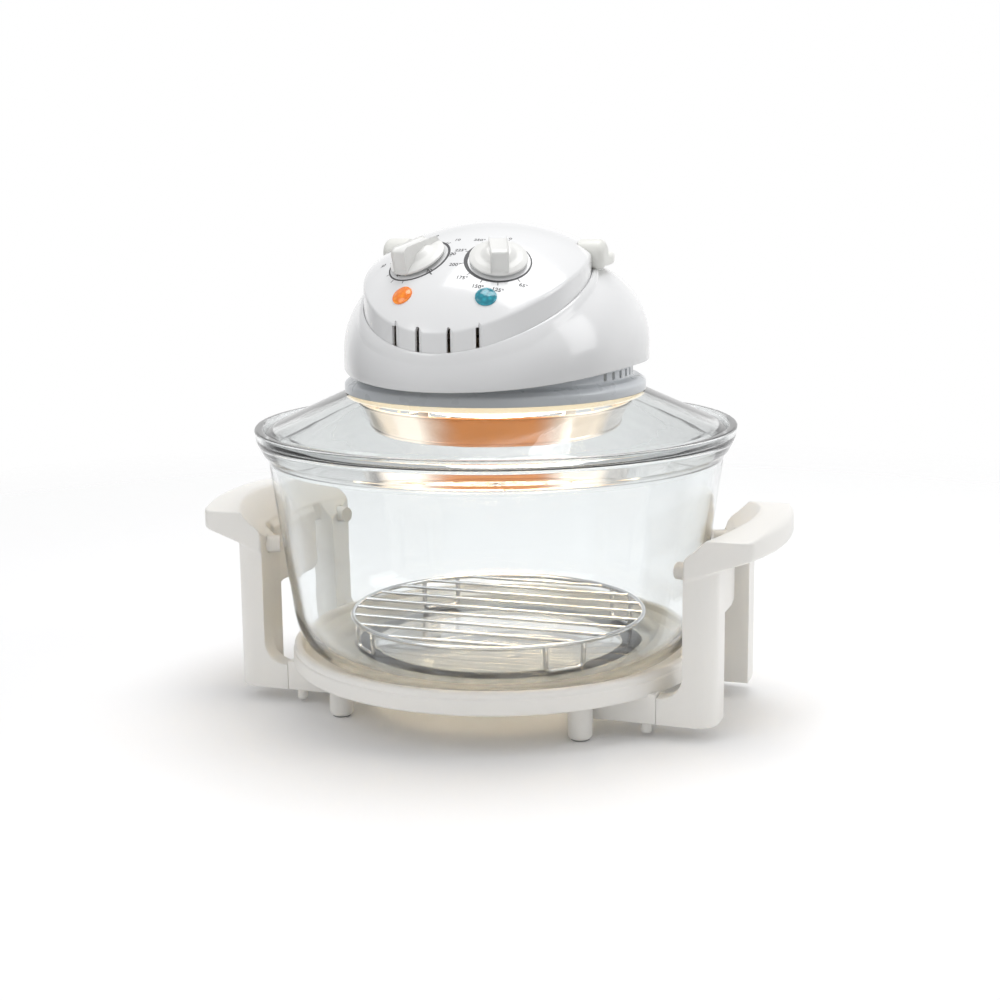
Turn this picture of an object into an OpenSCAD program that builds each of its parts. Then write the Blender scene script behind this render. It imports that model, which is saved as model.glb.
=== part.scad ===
// Halogen oven: a clear glass bowl in a plastic stand, closed by a conical glass lid
// that carries the heater head.  Millimetres, +Z up, front towards -Y, origin on the
// floor under the bowl's axis.

/* [Bowl] */
// Outer radius of the bowl's rim
rim_r = 167; // [160:1:175]
// Height of the bowl from its flat base to its rim
bowl_h = 162; // [152:1:172]
// Thickness of the bowl's wall and base
glass_t = 4.5; // [3.5:0.25:5.5]
// Height of the thick flared band at the rim
rim_band_h = 20; // [16:1:24]
// How far the flared band stands out past the wall under it
rim_flare = 9; // [7:0.5:11]
// How much narrower the wall is at the base than at the neck
wall_lean = 18.7; // [14:0.5:22]
// Size of the rounded corner between the wall and the base
base_fillet = 36; // [28:1:42]
// Depth of the step in the rim that takes the lid
lid_recess = 6; // [5:0.5:8]
// Width of the rim's top lip
rim_lip_w = 6.5; // [5.5:0.5:7]

/* [Stand] */
// Height of the ring's underside above the floor
ring_bottom = 28; // [24:1:34]
// Height of the ring's outer wall
ring_h = 16; // [14:1:19]
// Clearance between the ring's wall and the line of the bowl's wall
ring_gap = 5.7; // [4:0.5:8]
// Thickness of the ring's floor and walls
ring_t = 4; // [3:0.5:5]
// Radius of the opening in the ring's floor
ring_hole_r = 88; // [70:1:95]
// Diameter of the four round feet
foot_d = 16.5; // [14:0.5:20]
// Distance of each foot from the axis
foot_pos_r = 119; // [112:1:124]
// Angle of each foot from the front-back line
foot_angle = 46; // [42:1:49]
// How far the rubber foot tip stands out below the foot
tip_proud = 0.6; // [0.4:0.1:1]
// Gap between the ring and the inner face of a leg
leg_gap = 5; // [4:0.5:8]
// Width of a leg, seen from the front
leg_w = 22; // [18:1:26]
// Distance from the centre plane to the front face of a leg
leg_front = 69; // [66:1:72]
// Depth of a leg, front to back
leg_depth = 29; // [24:1:32]
// Height of the legs' lower edge above the floor
leg_bottom = 10; // [7:1:14]
// Radius of the leg's outer corner
leg_round = 12; // [8:1:14]
// Thickness of the foot wall that joins a leg to the ring
foot_wall_t = 14; // [12:1:16]
// Distance from the centre plane to the ring bracket's inner end
bracket_x0 = 79; // [76:1:84]
// Distance from the centre plane to the seam between bracket and leg
seam_x = 133; // [130:1:136]
// Diameter of the locking pins' heads
lock_pin_d = 7.5; // [6:0.5:9]

/* [Side handles] */
// Height of the grip's underside at its outer edge, above the floor
grip_z = 122; // [116:1:126]
// How much lower the grip's underside lies at the legs
grip_rise = 14; // [10:1:16]
// Thickness of the grip at its outer edge
grip_t = 18; // [16:1:21]
// Gap between the grip's inner wall and the line of the bowl's neck
grip_gap = 8; // [7:0.5:10]
// Width of the grip, from its inner wall to its outer edge
grip_w = 40; // [36:1:44]
// Width of the sloping top edge that faces the bowl
grip_bevel = 17; // [12:1:18]
// How far the grip's ends stand out past the legs
grip_proud = 1; // [0.5:0.25:2]
// Radius of the barrel curve along the grip's top
grip_crown_r = 530; // [400:10:700]
// Radius of the grip's two outer corners
grip_corner = 9; // [6:1:12]
// Thickness of the curved apron that hangs under the grip
apron_t = 4; // [3:0.5:5]
// Half width of the apron
apron_half_w = 28; // [22:1:32]
// Height of the apron's lower edge above the floor
apron_z = 74; // [68:1:86]
// Diameter of the bowl pads
pad_d = 11.5; // [9:0.5:13]
// Height of the bowl pads above the floor
pad_z = 111; // [106:1:112]

/* [Rack] */
// How far the rack's ring lies inside the flat part of the bowl's base
rack_inset = 0.3; // [0.3:0.1:7]
// Height of the rack above the bowl's base
rack_h = 23; // [18:1:30]
// Diameter of the rack's ring wire
rack_wire_d = 3.4; // [2.8:0.2:4]
// Diameter of the rack's cross wires
rack_rod_d = 2.6; // [2:0.2:3]
// Spacing of the cross wires
rack_pitch = 22; // [18:1:26]

/* [Lid] */
// Gap between the lid's edge and the step in the rim
lid_clear = 1; // [0.5:0.25:1.5]
// Height of the lid's edge
lid_edge_h = 3.6; // [3:0.2:5]
// Rise of the glass cone for each unit of radius
lid_slope = 0.45; // [0.42:0.01:0.5]
// Thickness of the lid's glass, measured upright
lid_t = 5; // [4:0.25:6]
// Radius of the hole in the lid's glass
lid_hole_r = 97; // [96:0.5:98]

/* [Head] */
// Greatest radius of the grey base ring
base_r = 105; // [104:0.5:107]
// Height of the whole head
head_h = 117; // [114:1:122]
// Width of the vent slots in the head's base
vent_w = 3.6; // [2.5:0.1:4.5]
// Angle between one vent slot and the next
vent_pitch = 6; // [5:0.5:7]
// Radius of the dome that the control panel follows
dome_r = 137; // [130:1:144]
// Half width of the white shell
shell_half_w = 107; // [105:0.5:110]
// Reach of the white shell towards the front
shell_front = 120.5; // [119:0.5:123]
// Reach of the white shell towards the back
shell_back = 112; // [110:0.5:115]
// Thickness of the shell and the panel
shell_t = 2.5; // [2:0.1:3]
// Radial size of the shell's rounded shoulder
shoulder_r = 50; // [46:1:54]
// Height of the shell's rounded shoulder
shoulder_h = 54; // [51:1:56]
// Half width of the control panel
panel_half_w = 75; // [73:0.5:76]
// Length of the control panel behind its widest place
panel_back = 83; // [78:1:86]
// Height of the white bead round the panel
bead_h = 1.2; // [0.8:0.1:1.5]
// Gap between the panel's wall and the shell
panel_gap = 0.3; // [0.2:0.05:0.5]
// Width of the four slots in the panel's front
slot_w = 3; // [2:0.25:4]

/* [Controls] */
// Distance of each knob from the centre plane
knob_x = 27.7; // [26:0.5:30]
// Distance of the knobs in front of the axis
knob_y = 69.5; // [66:0.5:74]
// Radius of a knob's skirt
knob_r = 19; // [16:0.5:20]
// Height of a knob above the panel
knob_h = 15; // [12:0.5:18]
// Width of a knob's grip bar
knob_bar_w = 13; // [10:0.5:15]
// Diameter of the control shafts
control_shaft_d = 6; // [5:0.5:7]
// Radial clearance of a shaft in its bush
shaft_clear = 0.05; // [0.02:0.01:0.08]
// Distance of each lamp from the centre plane
lamp_x = 28.4; // [26:0.5:31]
// Distance of the lamps in front of the axis
lamp_y = 96.5; // [94:0.5:98]
// Radius of a lamp lens
lens_r = 7; // [5:0.5:8]

/* [Heater] */
// Radius of the lamp guard's top edge
guard_top_r = 94.5; // [93:0.5:95.5]
// Radius of the lamp guard's bottom edge
guard_bottom_r = 87; // [85:0.5:90]
// Height of the lamp guard
guard_h = 17.5; // [16:0.5:20]
// Radius of the halogen tube's ring
tube_ring_r = 60; // [54:1:66]
// Diameter of the halogen tube
tube_d = 10; // [8:0.5:12]
// Radius of the convection fan
fan_r = 48; // [40:1:52]
// Diameter of the motor shaft
motor_shaft_d = 5; // [4:0.5:6]

/* [Carry handle] */
// Height of the handle's axle above the head's underside
axle_up = 95; // [94:0.5:97]
// Radius of the handle's hubs
hub_r = 10; // [8:0.5:11]
// Distance from the centre plane to the middle of the handle's bar
bail_half_w = 75; // [74.5:0.25:77]
// Width of the handle's bar
bail_w = 9; // [8:0.5:10]
// Thickness of the handle's bar
bail_t = 8; // [7:0.5:9]
// Length of the handle's straight arms
bail_arm = 10; // [6:1:14]
// Diameter of the handle's axle
axle_d = 6; // [5:0.5:7]

/* [Hidden] */

$fn = 96;
eps = 0.01;
seat_gap = 0.2;          // clearance left between parts that rest on each other

// Bowl
seat_z = ring_bottom + 2 + ring_t;
rim_z = seat_z + bowl_h;
neck_r = rim_r - rim_flare;
neck_z = rim_z - rim_band_h;
wall_foot_r = neck_r - wall_lean;
wall_rise = neck_z - seat_z;
lid_seat_z = rim_z - lid_recess;
recess_r = rim_r - rim_lip_w;

// Stand
ring_r = wall_foot_r + ring_gap;
ring_top = ring_bottom + ring_h;
leg_x0 = ring_r + leg_gap;
leg_x1 = leg_x0 + leg_w;
tongue_l = 20.5;
lock_pin_x = seam_x - 8;
lock_pin_y = leg_front - foot_wall_t / 2;
lock_shank_d = lock_pin_d / 2;

// Grips
grip_in_r = neck_r + grip_gap;
grip_r = grip_in_r + grip_w;

// Rack
rack_r = wall_foot_r - base_fillet - rack_inset;

// Lid
lid_r = recess_r - lid_clear;

// Head heights
clamp_z = lid_top(base_r) - 6;
head_z = clamp_z + 4.6;
dome_z = head_z + head_h - dome_r;
clamp_top = head_z + 9;
riser_top = head_z + 24;
shield_z = head_z + 21.2;
shield_top = shield_z + 1;
reflector_top = head_z + 17;
guard_top = clamp_z - 6;
guard_bottom = guard_top - guard_h;
shell_low_front = head_z + 14;
shell_low_side = head_z + 22;
shoulder_front = head_z + 19;
shoulder_side = head_z + 34;
flange_t = 3;

// Head radii
riser_r = base_r - 10;
riser_in = riser_r - 6;
clamp_in = riser_in - 1;
shield_r = riser_in - 0.3;
panel_y0 = -32;
panel_front = shell_front - 3.5 + panel_y0;

// Carry handle
axle_z = head_z + axle_up;
hub_x0 = bail_half_w - 13.5;
hub_x1 = bail_half_w + bail_w / 2;
hub_pocket_r = hub_r + 0.8;
bail_z = axle_z - hub_r + 2;
cam_x = 48;
cam_w = 6;
cam_high = 8;
cam_drop = 2.5;

plunger_top = axle_z - cam_high - 0.15;
switch_top = plunger_top - 5;
switch_half = 10;

// Controls: depth of the skin and washer above each control's body
body_depth = shell_t + 1.4;

// Heater
tube_z = head_z - 13;
probe_turn = 25;
probe_r = guard_top_r - 18.5;
probe_stem_x = 16;
tube_start = 30;
tube_post_a = tube_start / 2 - 4.4;
tube_post_x = tube_ring_r * sin(tube_post_a);
tube_post_y = tube_ring_r * cos(tube_post_a);

// Motor
bracket_top = shield_top + 16;
stack_z = bracket_top + 4;
stack_h = 18;
motor_bore_r = 13;
rotor_air = 0.4;
coil_r = 8.8;
coil_half = 16;
coil_y = 25.4 + coil_r;

// Mains entry and wires
cord_z = head_z + 36;
block_y = 62;
block_z = shield_top + 7;
terminal_pitch = 6.5;
wire_r = 1.1;

// ---------------------------------------------------------------- shared functions

// Top surface of the lid's glass cone at radius r
function lid_top(r) = lid_seat_z + lid_edge_h + (lid_r - r) * lid_slope;

// Outer radius of the bowl at height z: a straight leaning wall over a superelliptic corner
function wall_u(z) = min(1, (z - seat_z) / base_fillet);
function corner_drop(z) = base_fillet * (1 - pow(1 - pow(1 - wall_u(z), 2.5), 0.4));
function wall_line(z) = wall_foot_r + wall_lean * (z - seat_z) / wall_rise;
function bowl_r(z) = wall_line(z) - corner_drop(z);

// Outline of the head in plan: two half ellipses, one for the front and one for the back
function half_ellipse_r(a, w, front, back) =
    let (len = cos(a) > 0 ? front : back)
    1 / sqrt(pow(sin(a) / w, 2) + pow(cos(a) / len, 2));
function shell_r(a) = half_ellipse_r(a, shell_half_w, shell_front, shell_back);

// Outline of the panel, seen from the axis: an ellipse pair about a point at panel_y0
function panel_r(a, grow) =
    let (
        w = panel_half_w + grow,
        widest = atan2(w, -panel_y0),
        len = abs(a) < widest ? panel_front + grow : panel_back + grow,
        qa = pow(sin(a) / w, 2) + pow(cos(a) / len, 2),
        qb = 2 * panel_y0 * cos(a) / pow(len, 2),
        qc = pow(panel_y0 / len, 2) - 1
    )
    (-qb + sqrt(qb * qb - 4 * qa * qc)) / (2 * qa);

// Point at angle a from the front, radius r and height z
function polar(a, r, z) = [r * sin(a), -r * cos(a), z];

// Flat outline of the panel, grown by some amount
function panel_outline(grow, steps) =
    [for (i = [0:steps - 1]) let (a = 360 * i / steps - 180)
        [panel_r(a, grow) * sin(a), -panel_r(a, grow) * cos(a)]];

// Points of an arc about c, from angle a0 to angle a1
function arc(c, r, a0, a1, n) =
    [for (i = [0:n]) let (a = a0 + (a1 - a0) * i / n) [c[0] + r * cos(a), c[1] + r * sin(a)]];

// ---------------------------------------------------------------- shared shapes

// Closed skin over a ring of closed loops; each loop has the same number of points
module loop_lattice(loops) {
    n = len(loops);
    m = len(loops[0]);
    points = [for (loop = loops) for (p = loop) p];
    faces = [for (i = [0:n - 1]) for (j = [0:m - 1])
        let (a = i * m + j, b = i * m + (j + 1) % m,
             c = ((i + 1) % n) * m + (j + 1) % m, d = ((i + 1) % n) * m + j)
        each [[a, b, c], [a, c, d]]];
    polyhedron(points, faces, convexity = 6);
}

// Places children on the dome, origin on its surface and +Z along its outward normal
module on_dome(x, y) {
    r = sqrt(x * x + y * y);
    turn = atan2(x, -y);
    tilt = asin(r / dome_r);
    translate([0, 0, dome_z])
        rotate([0, 0, turn])
            rotate([tilt, 0, 0])
                translate([0, 0, dome_r])
                    children();
}

// The same place for one point p of the piece that stands on the dome
function dome_point(x, y, p) =
    let (
        turn = atan2(x, -y),
        tilt = asin(sqrt(x * x + y * y) / dome_r),
        out = p[1] * cos(tilt) - (p[2] + dome_r) * sin(tilt)
    )
    [p[0] * cos(turn) - out * sin(turn), p[0] * sin(turn) + out * cos(turn),
     dome_z + p[1] * sin(tilt) + (p[2] + dome_r) * cos(tilt)];

// Repeats children at every corner of a rectangle about the axis
module four_corners() {
    for (sx = [-1, 1])
        for (sy = [-1, 1])
            mirror([sx < 0 ? 1 : 0, 0, 0])
                mirror([0, sy < 0 ? 1 : 0, 0])
                    children();
}

module rod(p, axis, r, l, sides = 48) {
    translate(p)
        rotate(axis == "x" ? [0, 90, 0] : [-90, 0, 0])
            cylinder(r = r, h = l, $fn = sides);
}

// Point at angle a on a circle of radius r that stands square to direction d at p
function rim_point(p, d, r, a) =
    let (
        side = abs(d[2]) < 0.9 ? [0, 0, 1] : [1, 0, 0],
        u = cross(d, side) / norm(cross(d, side)),
        v = cross(u, d)
    )
    p + r * (cos(a) * u + sin(a) * v);

// Direction of a route at its point i
function heading(route, i) =
    let (
        n = len(route) - 1,
        d = i == 0 ? route[1] - route[0]
            : i == n ? route[n] - route[n - 1]
            : route[i + 1] - route[i - 1]
    )
    d / norm(d);

// Insulated wire: one closed tube along a route of points
module wire_tube(route, r) {
    sides = 8;
    n = len(route);
    points = [for (i = [0:n - 1]) for (k = [0:sides - 1])
        rim_point(route[i], heading(route, i), r, 360 * k / sides)];
    walls = [for (i = [0:n - 2]) for (k = [0:sides - 1])
        let (a = i * sides + k, b = i * sides + (k + 1) % sides)
        each [[a, a + sides, b + sides], [a, b + sides, b]]];
    caps = [
        [for (k = [0:sides - 1]) k],
        [for (k = [sides - 1:-1:0]) (n - 1) * sides + k]
    ];
    polyhedron(points, concat(walls, caps), convexity = 6);
}

// ---------------------------------------------------------------- stand

// Foot at the front right, as seen from the axis
module at_foot() {
    rotate([0, 0, foot_angle - 90])
        translate([foot_pos_r, 0, 0])
            children();
}

module stand_ring() {
    lip_r = 3;
    lip_x = ring_r - 0.5 - lip_r;
    floor_z = ring_bottom + 2;
    tongue_h = 12;
    color("floralwhite")
        difference() {
            union() {
                rotate_extrude()
                    union() {
                        polygon([
                            [ring_r - ring_t, ring_bottom], [ring_r - 1.5, ring_bottom],
                            [ring_r, ring_bottom + 1.5], [ring_r, ring_top - 7],
                            [ring_r - 1.5, ring_top - 4.5], [ring_r - 1.5, ring_top - lip_r],
                            [ring_r - 6, ring_top - lip_r], [ring_r - 8.5, ring_top - 5.5],
                            [ring_r - 12, seat_z + 2], [ring_r - 15, seat_z],
                            [ring_hole_r, seat_z], [ring_hole_r, floor_z],
                            [ring_r - ring_t, floor_z]
                        ]);
                        translate([lip_x, ring_top - lip_r])
                            circle(r = lip_r, $fn = 32);
                    }
                four_corners()
                    at_foot()
                        translate([0, 0, tip_proud])
                            cylinder(d = foot_d, h = floor_z - tip_proud + eps);
                four_corners()
                    translate([bracket_x0, -leg_front, leg_bottom])
                        cube([seam_x - bracket_x0, foot_wall_t, floor_z - leg_bottom + eps]);
            }
            // sockets for the rubber tips
            four_corners()
                at_foot()
                    translate([0, 0, -eps])
                        cylinder(d = foot_d - 4 + 0.1, h = 3 + eps);
            // pockets that take the tongues of the side handles
            four_corners()
                translate([seam_x - tongue_l - 0.5, -leg_front + 3, leg_bottom + 3])
                    cube([tongue_l + 0.5 + eps, foot_wall_t - 6, tongue_h]);
            four_corners()
                translate([lock_pin_x, -lock_pin_y, leg_bottom - eps])
                    cylinder(d = lock_shank_d + 0.1, h = 16);
        }
}

module rubber_foot_tips() {
    color("dimgray")
        four_corners()
            at_foot()
                cylinder(d = foot_d - 4, h = 3 - seat_gap);
}

// Pins pressed up through bracket and tongue; their round heads stand out below
module locking_pins() {
    head_z0 = 2.5;
    color("whitesmoke")
        four_corners()
            translate([lock_pin_x, -lock_pin_y, head_z0]) {
                cylinder(d = lock_pin_d - 1, h = 2);
                translate([0, 0, 1])
                    cylinder(d = lock_pin_d, h = leg_bottom - head_z0 - 1.1);
                cylinder(d = lock_shank_d, h = leg_bottom + 15.5 - head_z0);
            }
}

// Plan of a front leg: a rectangle with its outer front corner rounded
module leg_plan() {
    polygon(concat(
        [[leg_x0, -leg_front + leg_depth], [leg_x0, -leg_front]],
        arc([leg_x1 - leg_round, -leg_front + leg_round], leg_round, -90, 0, 8),
        [[leg_x1, -leg_front + leg_depth]]));
}

// Foot wall seen from the front, with the rounded inner corner that cradles the ring
module foot_wall_side() {
    corner = leg_x0 - seam_x - 1;
    polygon(concat(
        [[seam_x, leg_bottom], [leg_x0 + 4, leg_bottom], [leg_x0 + 4, ring_bottom + corner]],
        arc([leg_x0 - corner, ring_bottom + corner], corner, 0, -90, 10),
        [[seam_x, ring_bottom]]));
}

// Leg whose top slopes towards the bowl in one cone with the grip's bevel
module leg_post() {
    cone_z = grip_z - grip_in_r;
    r_in = leg_x0 - 2;
    r_out = grip_in_r + 9;
    r_far = grip_in_r + 25;
    intersection() {
        translate([0, 0, leg_bottom])
            linear_extrude(grip_z + grip_t - leg_bottom)
                leg_plan();
        rotate([0, 0, -90])
            rotate_extrude(angle = 90, $fn = 180)
                polygon([
                    [r_in, leg_bottom - 1], [r_far, leg_bottom - 1], [r_far, grip_z - 3],
                    [r_out, cone_z + r_out - 0.5], [r_in, cone_z + r_in - 0.5]
                ]);
    }
}

// Half of a side handle: front leg, foot wall and tongue
module handle_leg() {
    leg_post();
    translate([0, -leg_front + foot_wall_t, 0])
        rotate([90, 0, 0])
            linear_extrude(foot_wall_t)
                foot_wall_side();
    difference() {
        translate([seam_x - tongue_l, -leg_front + 3.3, leg_bottom + 3.3])
            cube([tongue_l + eps, foot_wall_t - 6.6, 11.4]);
        translate([lock_pin_x, -lock_pin_y, 0])
            cylinder(d = lock_shank_d + 0.1, h = 60);
    }
}

// Plan of what is cut away to round the grip's outer corner at the back
module grip_corner_plan() {
    half = leg_front + grip_proud;
    cy = half - grip_corner;
    cx = sqrt(pow(grip_r - grip_corner, 2) - cy * cy);
    far = grip_corner + 6;
    turn = atan2(cy, cx);
    polygon(concat(
        arc([cx, cy], grip_corner, turn, 90, 8),
        [[cx, cy + far], [cx + far, cy + far], [cx + far, cy + far * sin(turn)]]));
}

// Grip: a turned section with a sloping inner edge, cut by a barrel curve across its top
module grip_wing() {
    half = leg_front + grip_proud;
    span = asin(half / grip_in_r);
    top = grip_z + grip_t;
    nose = 6.5;
    toe = 3;
    difference() {
        intersection() {
            rotate([0, 0, -span])
                rotate_extrude(angle = 2 * span, $fn = 180)
                    polygon(concat(
                        [[grip_in_r, grip_z - grip_rise]],
                        arc([grip_r - toe, grip_z + toe], toe, -75, 0, 3),
                        arc([grip_r - nose, top - nose], nose, 0, 84, 5),
                        [[grip_in_r + grip_bevel + 4, top], [grip_in_r + grip_bevel, top - 1],
                         [grip_in_r, top - 1 - grip_bevel]]));
            translate([leg_x0 - 10, 0, top - grip_crown_r])
                rotate([0, 90, 0])
                    cylinder(r = grip_crown_r, h = grip_r - leg_x0 + 20, $fn = 360);
            translate([leg_x0 - 10, -half, grip_z - grip_rise - 1])
                cube([grip_r - leg_x0 + 20, 2 * half, grip_t + grip_rise + 2]);
        }
        for (s = [0, 1])
            mirror([0, s, 0])
                translate([0, 0, grip_z - grip_rise])
                    linear_extrude(grip_t + grip_rise + 2)
                        grip_corner_plan();
    }
}

// Apron seen from the side: straight edges with two rounded lower corners
module apron_face() {
    corner = 9;
    up = apron_z + corner;
    side = apron_half_w - corner;
    polygon(concat(
        [[apron_half_w, grip_z], [-apron_half_w, grip_z]],
        arc([-side, up], corner, 180, 270, 6),
        arc([side, up], corner, 270, 360, 6)));
}

module apron() {
    r = grip_in_r - apron_t + 0.5;
    span = asin((apron_half_w + 2) / r);
    intersection() {
        rotate([0, 0, -span])
            rotate_extrude(angle = 2 * span, $fn = 180)
                polygon([
                    [r, apron_z - 1], [r + apron_t, apron_z - 1],
                    [r + apron_t, grip_z - 1], [r, grip_z - 1 - apron_t]
                ]);
        translate([leg_x0, 0, 0])
            rotate([90, 0, 90])
                linear_extrude(leg_w)
                    apron_face();
    }
}

module side_handle() {
    difference() {
        union() {
            handle_leg();
            mirror([0, 1, 0])
                handle_leg();
            grip_wing();
            apron();
        }
        bowl_pad_pair(0.1);
    }
}

module left_side_handle() {
    color("ivory")
        mirror([1, 0, 0])
            side_handle();
}

module right_side_handle() {
    color("ivory")
        side_handle();
}

// Two pads that stand out of the legs towards the bowl's wall
module bowl_pad_pair(grow) {
    pad_y = leg_front - 14;
    pad_angle = atan2(pad_y, leg_x0);
    tip = wall_line(pad_z) + 3;
    back = sqrt(pow(pad_y, 2) + pow(leg_x0, 2)) + 5;
    for (s = [-1, 1])
        rotate([0, 0, s * pad_angle])
            translate([0, 0, pad_z])
                rotate([0, 90, 0])
                    translate([0, 0, tip])
                        cylinder(d = pad_d + grow, h = back - tip + grow / 2, $fn = 48);
}

module bowl_pads() {
    color("linen") {
        bowl_pad_pair(0);
        mirror([1, 0, 0])
            bowl_pad_pair(0);
    }
}

// ---------------------------------------------------------------- bowl and rack

module glass_bowl() {
    steps = 26;
    outer = [for (i = [0:steps])
        let (z = seat_z + wall_rise * pow(i / steps, 1.6)) [bowl_r(z), z]];
    inner = [for (i = [steps:-1:0])
        let (z = seat_z + wall_rise * pow(i / steps, 1.6))
        [bowl_r(z) - glass_t, z + glass_t * (1 - i / steps)]];
    color("lightcyan", 0.35)
        rotate_extrude($fn = 180)
            polygon(concat(
                [[0, seat_z]],
                outer,
                [[rim_r - 5.2, neck_z + 4], [rim_r - 2.6, neck_z + 8], [rim_r - 1, neck_z + 12.5],
                 [rim_r, rim_z - 2.4], [rim_r - 0.6, rim_z - 0.6], [rim_r - 2, rim_z],
                 [recess_r + 1.6, rim_z], [recess_r + 0.3, rim_z - 1],
                 [recess_r, rim_z - 2.6], [recess_r, lid_seat_z],
                 [neck_r - glass_t + 1, lid_seat_z], [neck_r - glass_t, lid_seat_z - 1.2]],
                inner,
                [[0, seat_z + glass_t]]));
}

// Rack: a wire ring with cross wires and four U-shaped feet, in wire of twelve flats
module wire_rack() {
    foot_z = seat_z + glass_t + 0.3;
    top_z = seat_z + glass_t + rack_h;
    wire = rack_wire_d / 2;
    thin = rack_rod_d / 2;
    count = floor((rack_r - 6) / rack_pitch);
    foot_half = 14;
    foot_r = rack_r - 2;
    color("silver") {
        translate([0, 0, top_z])
            rotate_extrude()
                translate([rack_r, 0])
                    circle(r = wire, $fn = 12);
        for (i = [-count:count])
            let (y = i * rack_pitch, half = sqrt(pow(rack_r, 2) - pow(y, 2)))
            rod([-half, y, top_z], "x", thin, 2 * half, 12);
        for (a = [45:90:315])
            rotate([0, 0, a]) {
                for (s = [-1, 1])
                    translate([foot_r, s * foot_half, foot_z])
                        cylinder(r = wire, h = top_z - foot_z, $fn = 12);
                rod([foot_r, -foot_half, foot_z + wire], "y", wire * 0.9, 2 * foot_half, 12);
            }
    }
}

// ---------------------------------------------------------------- lid

module glass_lid() {
    edge_in = lid_r - lid_t;
    color("gainsboro", 0.4)
        rotate_extrude($fn = 180)
            polygon([
                [edge_in, lid_seat_z], [lid_r - 0.8, lid_seat_z], [lid_r, lid_seat_z + 0.8],
                [lid_r, lid_seat_z + lid_edge_h - 1.4], [lid_r - 1.2, lid_top(lid_r - 1.2)],
                [lid_hole_r, lid_top(lid_hole_r)],
                [lid_hole_r, lid_top(lid_hole_r) - lid_t],
                [edge_in - 1.5, lid_top(edge_in - 1.5) - lid_t]
            ]);
}

module lid_gasket() {
    color("lightgray")
        rotate_extrude($fn = 120)
            polygon([
                [lid_hole_r + 0.6, lid_top(lid_hole_r + 0.6) + 0.05],
                [lid_hole_r + 5, lid_top(lid_hole_r + 5) + 0.05],
                [lid_hole_r + 5, lid_top(lid_hole_r + 5) + 1.25],
                [lid_hole_r + 0.6, lid_top(lid_hole_r + 0.6) + 1.25]
            ]);
}

// Height of the head base's underside over the gasket
function over_gasket(r) = lid_top(r) + 1.35;
// Height of the clamp ring's top under the glass
function under_glass(r) = lid_top(r) - lid_t - 0.2;

module clamp_ring() {
    color("silver")
        difference() {
            rotate_extrude($fn = 120)
                polygon([
                    [clamp_in, clamp_z], [base_r - 4.5, clamp_z], [base_r - 2.6, clamp_z + 0.9],
                    [base_r - 2.2, under_glass(base_r - 2.2)],
                    [lid_hole_r, under_glass(lid_hole_r)],
                    [lid_hole_r - 0.5, under_glass(lid_hole_r) + 0.2],
                    [lid_hole_r - 0.5, clamp_top], [clamp_in, clamp_top]
                ]);
            at_clamp_screws()
                clamp_screw(0.1);
        }
}

module at_clamp_screws() {
    for (a = [30:60:330])
        rotate([0, 0, a])
            translate([riser_r - 2.4, 0, clamp_z])
                children();
}

module clamp_screw(grow) {
    translate([0, 0, 0.4 - grow])
        cylinder(r = 2.4 + grow, h = 2 + grow, $fn = 32);
    translate([0, 0, 2])
        cylinder(r = 1.3 + grow, h = clamp_top - clamp_z + 2.5, $fn = 32);
}

module clamp_screws() {
    color("gray")
        at_clamp_screws()
            clamp_screw(0);
}

// Grey ring between the glass and the white shell
module head_base() {
    top = head_z + 12.5;
    lip = base_r - 1;
    lip_in = lip - 1.4;
    color("lightsteelblue")
        difference() {
            rotate_extrude($fn = 120)
                polygon([
                    [clamp_in, clamp_top + 0.1], [lid_hole_r - 0.5, clamp_top + 0.1],
                    [lid_hole_r - 0.3, over_gasket(lid_hole_r)],
                    [lid_hole_r + 0.4, over_gasket(lid_hole_r + 0.4)],
                    [lip_in, over_gasket(lip_in)], [lip_in + 0.4, lid_top(lip_in + 0.4) + 0.4],
                    [lip - 0.3, lid_top(lip - 0.3) + 0.4], [lip, lid_top(lip) + 1.2],
                    [lip, top - 4.5], [lip - 0.7, top - 2.8], [lip - 2.3, top - 1.5],
                    [lip - 4.5, top - 0.6], [riser_r + 1.5, top], [riser_r, top + 1.2],
                    [riser_r, riser_top],
                    [riser_in, riser_top], [riser_in, shield_z],
                    [riser_in - 4, shield_z], [clamp_in - 3, shield_z - 3],
                    [clamp_in - 3, clamp_top + 6], [clamp_in, clamp_top + 4]
                ]);
            // vent slots through the riser, on the right and on the left
            for (side = [-1, 1])
                for (i = [-3.5:3.5])
                    rotate([0, 0, side * 90 - 90 + i * vent_pitch])
                        translate([riser_in - 6, -vent_w / 2, top + 1.4])
                            cube([14, vent_w, 5.4]);
            at_clamp_screws()
                clamp_screw(0.1);
            at_shell_screws()
                shell_screw(0.1);
        }
}

module at_shell_screws() {
    for (a = [45:90:315])
        rotate([0, 0, a])
            translate([riser_in + 3, 0, riser_top])
                children();
}

module shell_screw(grow) {
    translate([0, 0, -10 - grow])
        cylinder(r = 1.3 + grow, h = 10 + flange_t - 0.4 + 2 * grow, $fn = 32);
}

module shell_screws() {
    color("gray")
        at_shell_screws()
            shell_screw(0);
}

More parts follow.
